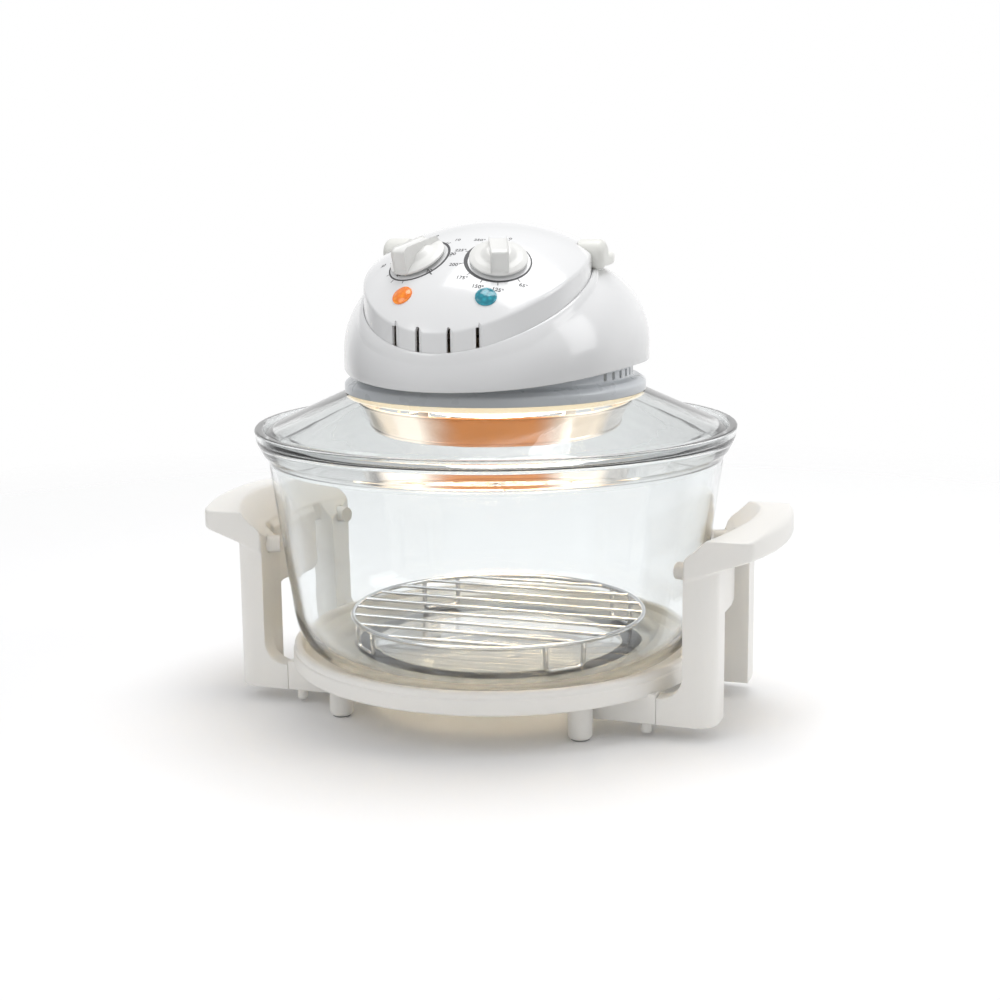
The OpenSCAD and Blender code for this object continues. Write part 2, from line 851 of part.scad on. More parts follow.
// One upright section of the shell at angle a, as a closed loop
function shell_loop(a) =
    let (
        rw = shell_r(a),
        frontness = cos(a) > 0 ? pow(cos(a), 2) : 0,
        low = shell_low_side + (shell_low_front - shell_low_side) * frontness,
        zc = shoulder_side + (shoulder_front - shoulder_side) * frontness,
        c = rw - shoulder_r,
        hole = panel_r(a, panel_gap),
        t_end = acos((hole - c) / shoulder_r),
        z_end = zc + shoulder_h * sin(t_end),
        ri = shoulder_r - shell_t,
        hi = shoulder_h - shell_t,
        t_in = acos(min(1, (hole - c) / ri)),
        bead = min(3.2, (rw - hole) * 0.5),
        t_bead = acos((hole + bead - c) / shoulder_r),
        steps = 9
    )
    concat(
        [polar(a, rw - 0.8, low), polar(a, rw, low + 1)],
        [for (i = [0:steps]) let (t = t_bead * i / steps)
            polar(a, c + shoulder_r * cos(t), zc + shoulder_h * sin(t))],
        [polar(a, hole + bead * 0.7, zc + shoulder_h * sin(t_bead) + bead_h * 1.2),
         polar(a, hole + bead * 0.3, z_end + bead_h),
         polar(a, hole, z_end + bead_h * 0.4),
         polar(a, hole, z_end - shell_t)],
        [for (i = [steps:-2:1]) let (t = t_in * i / steps)
            polar(a, min(c + ri * cos(t), hole + (rw - hole) * (1 - i / steps)
                + 0.001), zc + hi * sin(t) - 0.3)],
        [polar(a, rw - shell_t, riser_top + flange_t + 1),
         polar(a, rw - shell_t - 1, riser_top + flange_t),
         polar(a, riser_in + 0.5, riser_top + flange_t),
         polar(a, riser_in + 0.5, riser_top),
         polar(a, rw - shell_t, riser_top),
         polar(a, rw - shell_t, low)]);

module head_shell() {
    steps = 72;
    color("white")
        difference() {
            loop_lattice([for (i = [0:steps - 1]) shell_loop(360 * i / steps - 180)]);
            hub_pockets(hub_pocket_r);
            at_shell_screws()
                shell_screw(0.1);
            cord_hole(0.2);
        }
}

// Round pockets along the handle's axle
module hub_pockets(r) {
    for (s = [-1, 1])
        translate([s > 0 ? hub_x0 - 0.5 : -hub_x1 - 20, 0, axle_z])
            rotate([0, 90, 0])
                cylinder(r = r, h = hub_x1 - hub_x0 + 20.5);
}

module panel_prism(grow) {
    translate([0, 0, head_z + 20])
        linear_extrude(dome_r)
            polygon(panel_outline(grow, 88));
}

module dome(r) {
    translate([0, 0, dome_z])
        sphere(r = r, $fn = 120);
}

module control_panel() {
    cup = hub_pocket_r + 2;
    color("white")
        difference() {
            union() {
                difference() {
                    intersection() {
                        dome(dome_r);
                        panel_prism(0);
                    }
                    // hollow under the skin
                    intersection() {
                        dome(dome_r - shell_t);
                        panel_prism(-shell_t);
                    }
                    // the wall's lower edge follows a larger dome
                    translate([0, 0, dome_z - 11])
                        sphere(r = dome_r - 5, $fn = 120);
                }
                // cups that carry the handle's axle and hubs
                intersection() {
                    for (s = [-1, 1])
                        translate([s > 0 ? hub_x0 - 2.5 : -hub_x1, 0, axle_z])
                            rotate([0, 90, 0])
                                cylinder(r = cup, h = hub_x1 - hub_x0 + 2.5);
                    dome(dome_r);
                    panel_prism(0);
                }
            }
            hub_pockets(hub_pocket_r);
            rod([-hub_x1, 0, axle_z], "x", axle_d / 2 + shaft_clear, 2 * hub_x1);
            for (s = [-1, 1]) {
                on_dome(s * knob_x, -knob_y)
                    translate([0, 0, -8])
                        cylinder(r = 5.1, h = 12);
                on_dome(s * lamp_x, -lamp_y)
                    translate([0, 0, -8])
                        cylinder(r = lens_r + 0.1, h = 12);
            }
            // four upright slots round the front
            for (a = [-15, -5.6, 4.9, 14])
                rotate([0, 0, a])
                    translate([-slot_w / 2, -panel_front + panel_y0 - 4, dome_z + 61])
                        cube([slot_w, 12, 30]);
        }
}

// ---------------------------------------------------------------- lamps and controls

module lamp_lens() {
    translate([0, 0, -4])
        cylinder(r = lens_r, h = 4.6);
    translate([0, 0, 0.6])
        intersection() {
            translate([0, 0, -14])
                sphere(r = sqrt(14 * 14 + lens_r * lens_r), $fn = 64);
            cylinder(r = lens_r, h = 4);
        }
}

module power_lamp_lens() {
    color("darkorange")
        on_dome(-lamp_x, -lamp_y)
            lamp_lens();
}

module heat_lamp_lens() {
    color("teal")
        on_dome(lamp_x, -lamp_y)
            lamp_lens();
}

module indicator_bulbs() {
    color("orange")
        for (s = [-1, 1])
            on_dome(s * lamp_x, -lamp_y)
                translate([0, 0, -4.2 - 12])
                    cylinder(r = 2.6, h = 12, $fn = 32);
}

module threaded_bush() {
    translate([0, 0, -body_depth - 2])
        cylinder(r = 5, h = body_depth + 5);
}

module timer_mechanism() {
    color("goldenrod")
        on_dome(-knob_x, -knob_y)
            difference() {
                union() {
                    translate([-18, -18, -body_depth - 22])
                        cube([36, 36, 20.4]);
                    threaded_bush();
                }
                translate([0, 0, -body_depth - 12])
                    cylinder(d = control_shaft_d + 2 * shaft_clear, h = 40);
            }
}

module timer_bell() {
    color("silver")
        on_dome(-knob_x, -knob_y)
            translate([0, 0, -body_depth - 22 - 6.2])
                difference() {
                    cylinder(r = 14, h = 6);
                    translate([0, 0, -1])
                        cylinder(r = 13, h = 6);
                }
}

module thermostat_body() {
    color("dimgray")
        on_dome(knob_x, -knob_y)
            difference() {
                union() {
                    translate([0, 0, -body_depth - 18])
                        cylinder(r = 16, h = 18);
                    threaded_bush();
                }
                translate([0, 0, -body_depth - 12])
                    cylinder(d = control_shaft_d + 2 * shaft_clear, h = 40);
            }
}

module control_nuts() {
    color("silver")
        for (s = [-1, 1])
            on_dome(s * knob_x, -knob_y)
                translate([0, 0, 0.1])
                    difference() {
                        cylinder(r = 8, h = 2.6, $fn = 6);
                        translate([0, 0, -1])
                            cylinder(r = 5.05, h = 6);
                    }
}

module control_shaft() {
    translate([0, 0, -body_depth - 11])
        cylinder(d = control_shaft_d, h = body_depth + 11 + knob_h - 8);
}

module timer_shaft() {
    color("silver")
        on_dome(-knob_x, -knob_y)
            control_shaft();
}

module thermostat_shaft() {
    color("silver")
        on_dome(knob_x, -knob_y)
            control_shaft();
}

// Round skirt with a raised bar across it; the skirt is hollow over the nut
module knob() {
    skirt = 4.2;
    bar_y = knob_r - 1.6;
    difference() {
        union() {
            rotate_extrude()
                polygon([[0, 0.8], [knob_r, 0.8], [knob_r, 1.8], [knob_r - 3, skirt - 1],
                         [9, skirt + 1], [0, skirt + 1]]);
            translate([-knob_bar_w / 2, 0, 0])
                rotate([90, 0, 90])
                    linear_extrude(knob_bar_w)
                        polygon([
                            [-bar_y, skirt - 3], [-bar_y, skirt - 2],
                            [-knob_r / 2, knob_h - 0.6], [1.2 - knob_r / 2, knob_h],
                            [3 - knob_r / 2, knob_h - 0.3], [bar_y - 1, skirt + 1.2],
                            [bar_y, skirt - 1], [bar_y, skirt - 3]
                        ]);
        }
        translate([0, 0, 0.8 - eps])
            cylinder(r = 9, h = 2.6);
        translate([0, 0, 0.8])
            cylinder(d = control_shaft_d + 0.06, h = knob_h - 0.8 - 7.8);
    }
}

module timer_knob() {
    color("snow")
        on_dome(-knob_x, -knob_y)
            knob();
}

module thermostat_knob() {
    color("snow")
        on_dome(knob_x, -knob_y)
            knob();
}

// Probe under the reflector, on two stems that rise through the pan
module thermostat_probe() {
    probe_z = reflector_top - 20;
    stem_r = 1.2;
    color("peru")
        rotate([0, 0, probe_turn])
            translate([0, -probe_r, 0]) {
                rod([-22, 0, probe_z], "x", 2.6, 44);
                for (x = [-probe_stem_x, probe_stem_x])
                    translate([x, 0, probe_z])
                        cylinder(r = stem_r, h = shield_z - probe_z - seat_gap, $fn = 24);
            }
}

// ---------------------------------------------------------------- heater

module lamp_guard() {
    t = 1.2;
    color("silver") {
        rotate_extrude($fn = 120)
            union() {
                polygon([
                    [guard_bottom_r, guard_bottom], [guard_bottom_r + t, guard_bottom],
                    [guard_top_r + t, guard_top], [guard_top_r, guard_top]
                ]);
                translate([guard_bottom_r + t / 2, guard_bottom])
                    circle(r = 1.3, $fn = 16);
                translate([guard_top_r + t / 2, guard_top])
                    circle(r = 1.5, $fn = 16);
            }
        // tabs that hang the guard from the clamp ring
        for (a = [20:60:320])
            rotate([0, 0, a])
                translate([guard_top_r - 0.2, -4, guard_top - 2])
                    cube([1.2, 8, clamp_z - guard_top + 2]);
    }
}

// Stamped grille: round bars on spokes, spot welded inside the guard's foot
module guard_grille() {
    bar = 2;
    rings = 5;
    rim = guard_bottom_r - 0.2;
    pitch = (rim - bar) / rings;
    color("silver")
        translate([0, 0, guard_bottom + 1.6])
            linear_extrude(1.2)
                union() {
                    for (i = [1:rings])
                        difference() {
                            circle(r = i * pitch + bar, $fn = 120);
                            circle(r = i * pitch, $fn = 120);
                        }
                    for (a = [0:30:150])
                        rotate(a)
                            square([2 * rim - bar, bar], center = true);
                }
}

module reflector_pan() {
    t = 0.8;
    r = clamp_in - 3.6;
    low = head_z + 2;
    color("whitesmoke")
        difference() {
            rotate_extrude($fn = 120)
                polygon([
                    [7, reflector_top - t], [r - 12, reflector_top - t],
                    [r - t, reflector_top - 8], [r - t, low],
                    [r, low], [r, reflector_top - 8],
                    [r - 12 + t / 2, reflector_top], [7, reflector_top]
                ]);
            rotate([0, 0, probe_turn])
                translate([0, -probe_r, 0])
                    for (x = [-probe_stem_x, probe_stem_x])
                        translate([x, 0, head_z])
                            cylinder(r = 1.6, h = 40, $fn = 24);
            tube_posts(0.1);
        }
}

module reflector_spacers() {
    color("tan")
        for (a = [90:120:330])
            rotate([0, 0, a])
                translate([34, 0, reflector_top + seat_gap / 2])
                    cylinder(r = 4, h = shield_z - reflector_top - seat_gap);
}

module heat_shield() {
    color("lightgray")
        difference() {
            translate([0, 0, shield_z])
                cylinder(r = shield_r, h = 1, $fn = 120);
            translate([0, 0, shield_z - 1])
                cylinder(r = 6, h = 4);
            // holes for the tube's wires
            for (s = [-1, 1])
                translate([s * tube_post_x, tube_post_y, shield_z - 1])
                    cylinder(r = wire_r + 0.2, h = 4);
            // slots that let the cooling air through
            for (a = [0:30:330])
                rotate([0, 0, a])
                    translate([66, -1.5, shield_z - 1])
                        cube([12, 3, 4]);
        }
}

module halogen_tube() {
    color("orange")
        translate([0, 0, tube_z])
            rotate([0, 0, 90 + tube_start / 2])
                rotate_extrude(angle = 360 - tube_start, $fn = 96)
                    translate([tube_ring_r, 0])
                        circle(d = tube_d, $fn = 32);
}

// Places children on the tube's ring near its two ends
module at_tube_ends() {
    for (s = [-1, 1])
        rotate([0, 0, 90 + s * tube_post_a])
            translate([tube_ring_r, 0, tube_z])
                children();
}

// Posts of the two ceramic holders
module tube_posts(grow) {
    at_tube_ends()
        cylinder(r = 4.5 + grow, h = shield_z - seat_gap - tube_z, $fn = 32);
}

module tube_holders() {
    color("ivory")
        difference() {
            union() {
                tube_posts(0);
                at_tube_ends()
                    sphere(r = tube_d / 2 + 1.5, $fn = 48);
            }
            translate([0, 0, tube_z])
                rotate([0, 0, 90 + tube_start / 2 - 0.3])
                    rotate_extrude(angle = 360.6 - tube_start, $fn = 96)
                        translate([tube_ring_r, 0])
                            circle(d = tube_d + 0.2, $fn = 32);
        }
}

// ---------------------------------------------------------------- motor and fans

module motor_bracket() {
    half = 46;
    plate = 1.6;
    color("silver")
        difference() {
            union() {
                translate([-half, -11, bracket_top - plate])
                    cube([2 * half, 22, plate]);
                for (s = [-1, 1]) {
                    translate([s > 0 ? half - plate : -half, -11, shield_top])
                        cube([plate, 22, bracket_top - shield_top]);
                    translate([s > 0 ? half - plate : -half - 8, -11, shield_top])
                        cube([8 + plate, 22, plate]);
                }
            }
            translate([0, 0, bracket_top - 3])
                cylinder(r = 5.05, h = 6);
        }
}

module bearing_bush() {
    color("darkgoldenrod")
        for (z = [bracket_top - 1.6, stack_z + stack_h + 1])
            translate([0, 0, z])
                difference() {
                    union() {
                        cylinder(r = 5, h = 5);
                        translate([0, 0, z > stack_z ? 0 : 1.7])
                            cylinder(r = 7, h = 1.6);
                    }
                    translate([0, 0, -1])
                        cylinder(d = motor_shaft_d + 2 * shaft_clear, h = 8);
                }
}

// Square stack of plates on four posts, with a cap plate that holds the upper bush
module motor_stator() {
    color("slategray")
        difference() {
            union() {
                translate([-29, -25, stack_z])
                    cube([58, 50, stack_h]);
                for (x = [-24, 24])
                    for (y = [-9, 9])
                        translate([x, y, bracket_top])
                            cylinder(r = 2, h = stack_h + 6.6, $fn = 24);
                translate([-27, -11, stack_z + stack_h + 2.7])
                    cube([54, 22, 1.4]);
            }
            translate([0, 0, stack_z - 1])
                cylinder(r = motor_bore_r, h = stack_h + 2);
            translate([0, 0, stack_z + stack_h + 2])
                cylinder(r = 5.05, h = 6);
        }
}

module motor_coil() {
    color("chocolate")
        rod([-coil_half, coil_y, stack_z + stack_h / 2], "x", coil_r, 2 * coil_half);
}

module fan_shaft() {
    color("silver")
        translate([0, 0, head_z + 2])
            cylinder(d = motor_shaft_d, h = stack_z + stack_h + 8 - head_z - 2);
}

module motor_rotor() {
    color("darkgray")
        translate([0, 0, stack_z + 1.5])
            difference() {
                cylinder(r = motor_bore_r - rotor_air, h = stack_h - 2);
                translate([0, 0, -1])
                    cylinder(d = motor_shaft_d + 0.06, h = stack_h + 4);
            }
}

// Stamped fan: a hub, a disc and upright blades
module fan(r, h, blades, disc_r) {
    difference() {
        union() {
            cylinder(r = 7, h = h);
            cylinder(r = disc_r, h = 1);
            for (i = [0:blades - 1])
                rotate([0, 0, 360 * i / blades])
                    translate([6, -0.5, 0])
                        rotate([0, 0, 12])
                            cube([r - 7, 1, h]);
        }
        translate([0, 0, -1])
            cylinder(d = motor_shaft_d + 0.06, h = h + 2);
    }
}

module convection_fan() {
    color("silver")
        translate([0, 0, head_z + 4])
            fan(fan_r, 9, 8, 22);
}

module cooling_fan() {
    color("whitesmoke")
        translate([0, 0, shield_top + 3])
            fan(38, 7, 7, 16);
}

// ---------------------------------------------------------------- carry handle

// Bar of the handle: two straight arms and a half ring behind the dome
module bail_section() {
    r = 2.6;
    polygon(concat(
        arc([bail_w / 2 - r, -bail_t / 2 + r], r, -90, 0, 4),
        arc([bail_w / 2 - r, bail_t / 2 - r], r, 0, 90, 4),
        arc([-bail_w / 2 + r, bail_t / 2 - r], r, 90, 180, 4),
        arc([-bail_w / 2 + r, -bail_t / 2 + r], r, 180, 270, 4)));
}

module carry_handle() {
    mid = bail_z + bail_t / 2;
    color("ivory")
        difference() {
            union() {
                translate([0, bail_arm, mid])
                    rotate_extrude(angle = 180, $fn = 120)
                        translate([bail_half_w, 0])
                            bail_section();
                for (s = [-1, 1]) {
                    translate([s * bail_half_w, bail_arm + eps, mid])
                        rotate([90, 0, 0])
                            linear_extrude(bail_arm + 2)
                                bail_section();
                    translate([s > 0 ? hub_x0 : -hub_x1, 0, axle_z])
                        rotate([0, 90, 0])
                            cylinder(r = hub_r, h = hub_x1 - hub_x0);
                }
            }
            rod([-hub_x1 + 4, 0, axle_z], "x", axle_d / 2 + 0.03, 2 * hub_x1 - 8);
        }
}

module handle_axle() {
    color("silver")
        rod([-hub_x1 + 4.5, 0, axle_z], "x", axle_d / 2, 2 * hub_x1 - 9);
}

// Radius of the cam at an angle behind the point that rests on the plunger: it falls
// steadily over the handle's quarter turn, stays low, and rises again
function cam_r(behind) =
    behind <= 90 ? cam_high - cam_drop * behind / 90
    : cam_high - cam_drop * (1 - min(1, max(0, behind - 180) / 120));

module safety_cam() {
    color("gainsboro")
        translate([cam_x, 0, axle_z])
            rotate([90, 0, 90])
                difference() {
                    linear_extrude(cam_w)
                        polygon([for (a = [0:5:355])
                            let (r = cam_r((270 - a + 360) % 360)) [r * cos(a), r * sin(a)]]);
                    translate([0, 0, -1])
                        cylinder(d = axle_d + 0.06, h = cam_w + 2);
                }
}

module safety_plunger() {
    color("firebrick")
        translate([cam_x + cam_w / 2, 0, switch_top - 8]) {
            cylinder(r = 2, h = plunger_top - switch_top + 8 - 2, $fn = 32);
            translate([0, 0, plunger_top - switch_top + 8 - 2])
                sphere(r = 2, $fn = 32);
        }
}

module safety_switch() {
    color("darkslategray")
        difference() {
            translate([cam_x - 3, -switch_half, switch_top - 16])
                cube([12, 2 * switch_half, 16]);
            translate([cam_x + cam_w / 2, 0, switch_top - 9])
                cylinder(r = 2 + shaft_clear, h = 12, $fn = 32);
        }
}

module switch_bracket() {
    x = cam_x + 9.2;
    color("silver") {
        translate([x, -8, shield_top])
            cube([1.5, 16, switch_top - shield_top]);
        translate([x, -8, shield_top])
            cube([10, 16, 1.5]);
    }
}

// ---------------------------------------------------------------- mains entry

module terminal_block() {
    half = 2 * terminal_pitch + 5;
    color("beige")
        difference() {
            translate([-half, block_y, shield_top])
                cube([2 * half, 14, 12]);
            for (i = [-2:2])
                rod([i * terminal_pitch, block_y - 1, block_z], "y", wire_r + 0.3, 16);
        }
}

module cord_hole(grow) {
    rod([0, shell_back - 14, cord_z], "y", 7 + grow, 30);
}

module cord_gland() {
    color("whitesmoke")
        difference() {
            union() {
                rod([0, shell_back - 10.5, cord_z], "y", 7, 16.5);
                rod([0, shell_back + 0.3, cord_z], "y", 9, 3);
                rod([0, shell_back - 10.5, cord_z], "y", 8.5, 3);
            }
            rod([0, shell_back - 20, cord_z], "y", 3.8, 60);
        }
}

// Points where a wire leaves terminal number i of the block
function leave_block(i) = [
    [i * terminal_pitch, block_y + 4, block_z],
    [i * terminal_pitch, block_y, block_z],
    [i * terminal_pitch, block_y - 5, block_z]
];

module wiring_harness() {
    coil_z = stack_z + stack_h / 2;
    wire_z = switch_top - 8;
    timer_side = dome_point(-knob_x, -knob_y, [-18.1, 0, -15]);
    timer_near = dome_point(-knob_x, -knob_y, [-26, 0, -15]);
    sensor_end = dome_point(knob_x, -knob_y, [0, 0, -body_depth - 18.1]);
    sensor_near = dome_point(knob_x, -knob_y, [0, 0, -body_depth - 26]);
    color("firebrick") {
        // to the timer
        wire_tube(concat(leave_block(-2), [
            [-34, block_y - 10, block_z + 4], [-58, 30, block_z + 16], [-64, 0, block_z + 30],
            [-60, -30, block_z + 44], timer_near, timer_side]), wire_r);
        // to the motor's coil
        wire_tube(concat(leave_block(0), [
            [10, block_y - 12, block_z + 6], [24, block_y - 20, coil_z - 6],
            [24, coil_y, coil_z], [coil_half + 0.1, coil_y, coil_z]]), wire_r);
        // to the safety switch
        wire_tube(concat(leave_block(2), [
            [30, block_y - 12, block_z + 6], [50, 44, block_z + 20], [56, 30, wire_z - 8],
            [cam_x + 3, 18, wire_z], [cam_x + 3, switch_half + 0.1, wire_z]]), wire_r);
        // from the switch to the thermostat
        wire_tube([
            [cam_x + 3, -switch_half - 0.1, wire_z], [cam_x + 2, -switch_half - 8, wire_z - 2],
            [42, -34, wire_z - 10], [28, -46, wire_z - 13], sensor_near, sensor_end], wire_r);
        // down to the two ends of the halogen tube
        for (s = [-1, 1])
            let (x = s * tube_post_x)
            wire_tube([
                [x, tube_post_y, shield_z - 0.1], [x, tube_post_y, shield_top + 3],
                [s * (tube_post_x - 1), tube_post_y + 1.5, block_z - 1.5],
                [s * terminal_pitch * 1.1, block_y - 0.5, block_z],
                [s * terminal_pitch, block_y + 4, block_z]], wire_r * 0.8);
    }
}

stand_ring();
left_side_handle();
right_side_handle();
locking_pins();
rubber_foot_tips();
bowl_pads();
glass_bowl();
wire_rack();
glass_lid();
lid_gasket();
clamp_ring();
clamp_screws();
head_base();
head_shell();
shell_screws();
control_panel();
power_lamp_lens();
heat_lamp_lens();
indicator_bulbs();
lamp_guard();
guard_grille();
reflector_pan();
reflector_spacers();
heat_shield();
halogen_tube();
tube_holders();
thermostat_probe();
thermostat_body();
timer_mechanism();
timer_bell();
control_nuts();
timer_knob();
timer_shaft();
thermostat_knob();
thermostat_shaft();
motor_bracket();
motor_stator();
motor_coil();
bearing_bush();
fan_shaft();
motor_rotor();
convection_fan();
cooling_fan();
carry_handle();
handle_axle();
safety_cam();
safety_switch();
switch_bracket();
safety_plunger();
terminal_block();
cord_gland();
wiring_harness();
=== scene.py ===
"""Looks of a tabletop halogen oven: moulded stand, glass bowl and lid, heater head.

Lengths are millimetres until a mesh is made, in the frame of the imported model:
+Z up along the bowl's axis, the dials towards -Y, the floor at 0.
"""

import math

import bmesh
import bpy
import numpy as np
from mathutils import Matrix, Vector


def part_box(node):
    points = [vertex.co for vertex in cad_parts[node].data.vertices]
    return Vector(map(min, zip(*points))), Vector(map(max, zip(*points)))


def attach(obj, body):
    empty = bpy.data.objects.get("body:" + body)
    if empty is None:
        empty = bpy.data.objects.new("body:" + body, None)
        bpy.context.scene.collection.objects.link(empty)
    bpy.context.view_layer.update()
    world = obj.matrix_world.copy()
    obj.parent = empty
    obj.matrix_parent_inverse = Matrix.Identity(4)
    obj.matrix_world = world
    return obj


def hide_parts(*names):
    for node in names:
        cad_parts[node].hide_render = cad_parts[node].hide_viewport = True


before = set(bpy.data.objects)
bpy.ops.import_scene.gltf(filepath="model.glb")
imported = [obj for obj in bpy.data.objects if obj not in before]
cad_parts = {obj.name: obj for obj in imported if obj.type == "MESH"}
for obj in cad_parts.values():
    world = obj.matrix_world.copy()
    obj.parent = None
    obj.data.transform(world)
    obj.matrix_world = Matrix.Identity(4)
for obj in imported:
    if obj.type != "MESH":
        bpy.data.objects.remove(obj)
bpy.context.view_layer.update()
MM = 0.001


def box_mm(node):
    """Lowest and highest corners of a CAD node, in millimetres."""
    low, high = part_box(node)
    return np.array(low) / MM, np.array(high) / MM


# ---------------------------------------------------------------- sizes

BOWL_LOW, BOWL_HIGH = box_mm("glass_bowl")
RIM_R = BOWL_HIGH[0]
SEAT_Z = BOWL_LOW[2]
RIM_Z = BOWL_HIGH[2]
GLASS_T = 4.5
RIM_BAND_H = 20.0
RIM_FLARE = 9.0
WALL_LEAN = 18.7
BASE_FILLET = 36.0
LID_RECESS = 6.0
RIM_LIP_W = 6.5
NECK_R = RIM_R - RIM_FLARE
NECK_Z = RIM_Z - RIM_BAND_H
FOOT_R = NECK_R - WALL_LEAN
RECESS_R = RIM_R - RIM_LIP_W
LID_SEAT_Z = RIM_Z - LID_RECESS

RING_R = 145.0
RING_T = 4.0
RING_HOLE_R = 88.0
RING_TOP = 44.0
RING_BOTTOM = 28.0
RING_FLOOR = RING_BOTTOM + 2
RING_LIP = 3.0
FOOT_POS_R = 119.0
FOOT_ANGLE = 46.0
FOOT_D = 16.5
FOOT_END_Z = 0.6
TIP_R = FOOT_D / 2 - 2
TIP_H = 2.8
LEG_FRONT = 69.0
LEG_BOTTOM = 10.0
BRACKET_X0 = 79.0
SEAM_X = 133.0
SEAM_GAP = 0.15
BRACKET_T = 14.0

LID_R = RECESS_R - 1.0
LID_EDGE_H = 3.6
LID_SLOPE = 0.45
LID_T = 5.0
LID_HOLE_R = 97.0

RACK_RIM_R = 1.7
RACK_WIRE_R = 1.3
RACK_PITCH = 22.0
RACK_FOOT_HALF_W = 14.0

BASE_R = 105.0
CLAMP_Z = LID_SEAT_Z + LID_EDGE_H + (LID_R - BASE_R) * LID_SLOPE - 6.0
HEAD_Z = CLAMP_Z + 4.6
HEAD_H = 117.0
DOME_R = 137.0
DOME_Z = HEAD_Z + HEAD_H - DOME_R
SHELL_HALF_W = 103.5
SHELL_Y0 = 12.0
SHELL_FRONT = 120.5
SHELL_BACK = 112.0
SHELL_T = 2.5
SHOULDER_R = 50.0
SHOULDER_H = 54.0
PANEL_HALF_W = 75.0
PANEL_BACK = 83.0
PANEL_GAP = 0.3
PANEL_Y0 = -32.0
PANEL_FRONT = SHELL_FRONT - 3.5 + PANEL_Y0
PANEL_EDGE_R = 4.4
BEAD_W = 4.6
BEAD_H = 2.28
SLOT_W = 2.0
SLOT_LOW = DOME_Z + 58
SLOT_HIGH = DOME_Z + 75
BEVEL_W = 5.2
SLOT_ANGLES = (-15.0, -5.6, 4.9, 14.0)
BASE_TOP = HEAD_Z + 12.5
VENT_W = 3.6
VENT_LOW = BASE_TOP + 1.4
VENT_HIGH = BASE_TOP + 6.8
VENT_PITCH = 6.0
VENTS_A_SIDE = 8
RISER_R = BASE_R - 10.0
RISER_TOP = HEAD_Z + 24.0
CLAMP_TOP = HEAD_Z + 9.0
GUARD_TOP = CLAMP_Z - 6.0
GUARD_BOTTOM = GUARD_TOP - 17.5
GUARD_TOP_R = 94.5
GUARD_BOTTOM_R = 87.0
GUARD_T = 1.2
GUARD_TABS = 6

KNOB_X = 27.7
KNOB_Y = -69.5
KNOB_R = 19.0
KNOB_H = 15.0
KNOB_FOOT_Z = 0.8
WEDGE_HALF_L = KNOB_R - 1.6
WEDGE_HALF_W = 5.8
WEDGE_EDGE_R = 1.4
LAMP_X = 28.4
LAMP_Y = -96.5
LENS_R = 7.0
LENS_CAP = 14.0

AXLE_Z = HEAD_Z + 95.0
HUB_R = 10.0
BAIL_HALF_W = 75.0
BAIL_W = 9.0
BAIL_T = 8.0
BAIL_ARM = 10.0
HUB_X0 = BAIL_HALF_W - 13.5
HUB_X1 = BAIL_HALF_W + BAIL_W / 2
HUB_POCKET_R = HUB_R + 0.8
BAIL_MID_Z = AXLE_Z - HUB_R + 2.0 + BAIL_T / 2
CORD_Z = HEAD_Z + 36.0
CORD_HOLE_R = 7.2


# ---------------------------------------------------------------- mesh tools


def grid(points, close_u=False, close_v=False):
    """Corners and quads of a skin over points[u, v, xyz]; a closed way joins its last row to its first."""
    nu, nv = points.shape[:2]
    u = np.arange(nu if close_u else nu - 1)[:, None]
    v = np.arange(nv if close_v else nv - 1)[None, :]
    u1, v1 = (u + 1) % nu, (v + 1) % nv
    quads = np.stack([u * nv + v, u1 * nv + v, u1 * nv + v1, u * nv + v1], axis=-1)
    return points.reshape(-1, 3), quads.reshape(-1, 4)


def outward(part):
    """The same closed skin with its faces turned so that its volume is positive."""
    points, quads = part
    a, b, c, d = (points[quads[:, k]] for k in range(4))
    volume = np.einsum("ij,ij->", a, np.cross(b, c) + np.cross(c, d))
    return points, (quads if volume > 0 else quads[:, ::-1])


def turned(outline, sides=192, closed=True):
    """Outline (radius, height) turned about the upright axis: x = r cos a, y = r sin a, z = height."""
    outline = np.asarray(outline, float)
    a = np.linspace(0, 2 * math.pi, sides, endpoint=False)[:, None]
    r, z = outline[:, 0][None, :], outline[:, 1][None, :]
    points = np.stack([r * np.cos(a), r * np.sin(a), z + 0 * a], axis=-1)
    return grid(points, close_u=True, close_v=closed)


def rounded(corners, steps=6, closed=True):
    """Outline whose corners (x, y, radius) are arcs tangent to both sides of the corner."""
    corners = [np.array(c, float) for c in corners]
    out = []
    for i, corner in enumerate(corners):
        p, radius = corner[:2], corner[2]
        at_end = not closed and i in (0, len(corners) - 1)
        if radius == 0 or at_end:
            out.append(p)
            continue
        before = corners[i - 1][:2] - p
        after = corners[(i + 1) % len(corners)][:2] - p
        before, after = before / np.linalg.norm(before), after / np.linalg.norm(after)
        half = math.acos(np.clip(before @ after, -1, 1)) / 2
        centre = p + (before + after) / np.linalg.norm(before + after) * radius / math.sin(half)
        start = p + before * radius / math.tan(half) - centre
        end = p + after * radius / math.tan(half) - centre
        a0 = math.atan2(start[1], start[0])
        turn = (math.atan2(end[1], end[0]) - a0 + math.pi) % (2 * math.pi) - math.pi
        a = a0 + turn * np.linspace(0, 1, steps + 1)
        out.extend(centre + radius * np.stack([np.cos(a), np.sin(a)], axis=-1))
    return np.array(out)


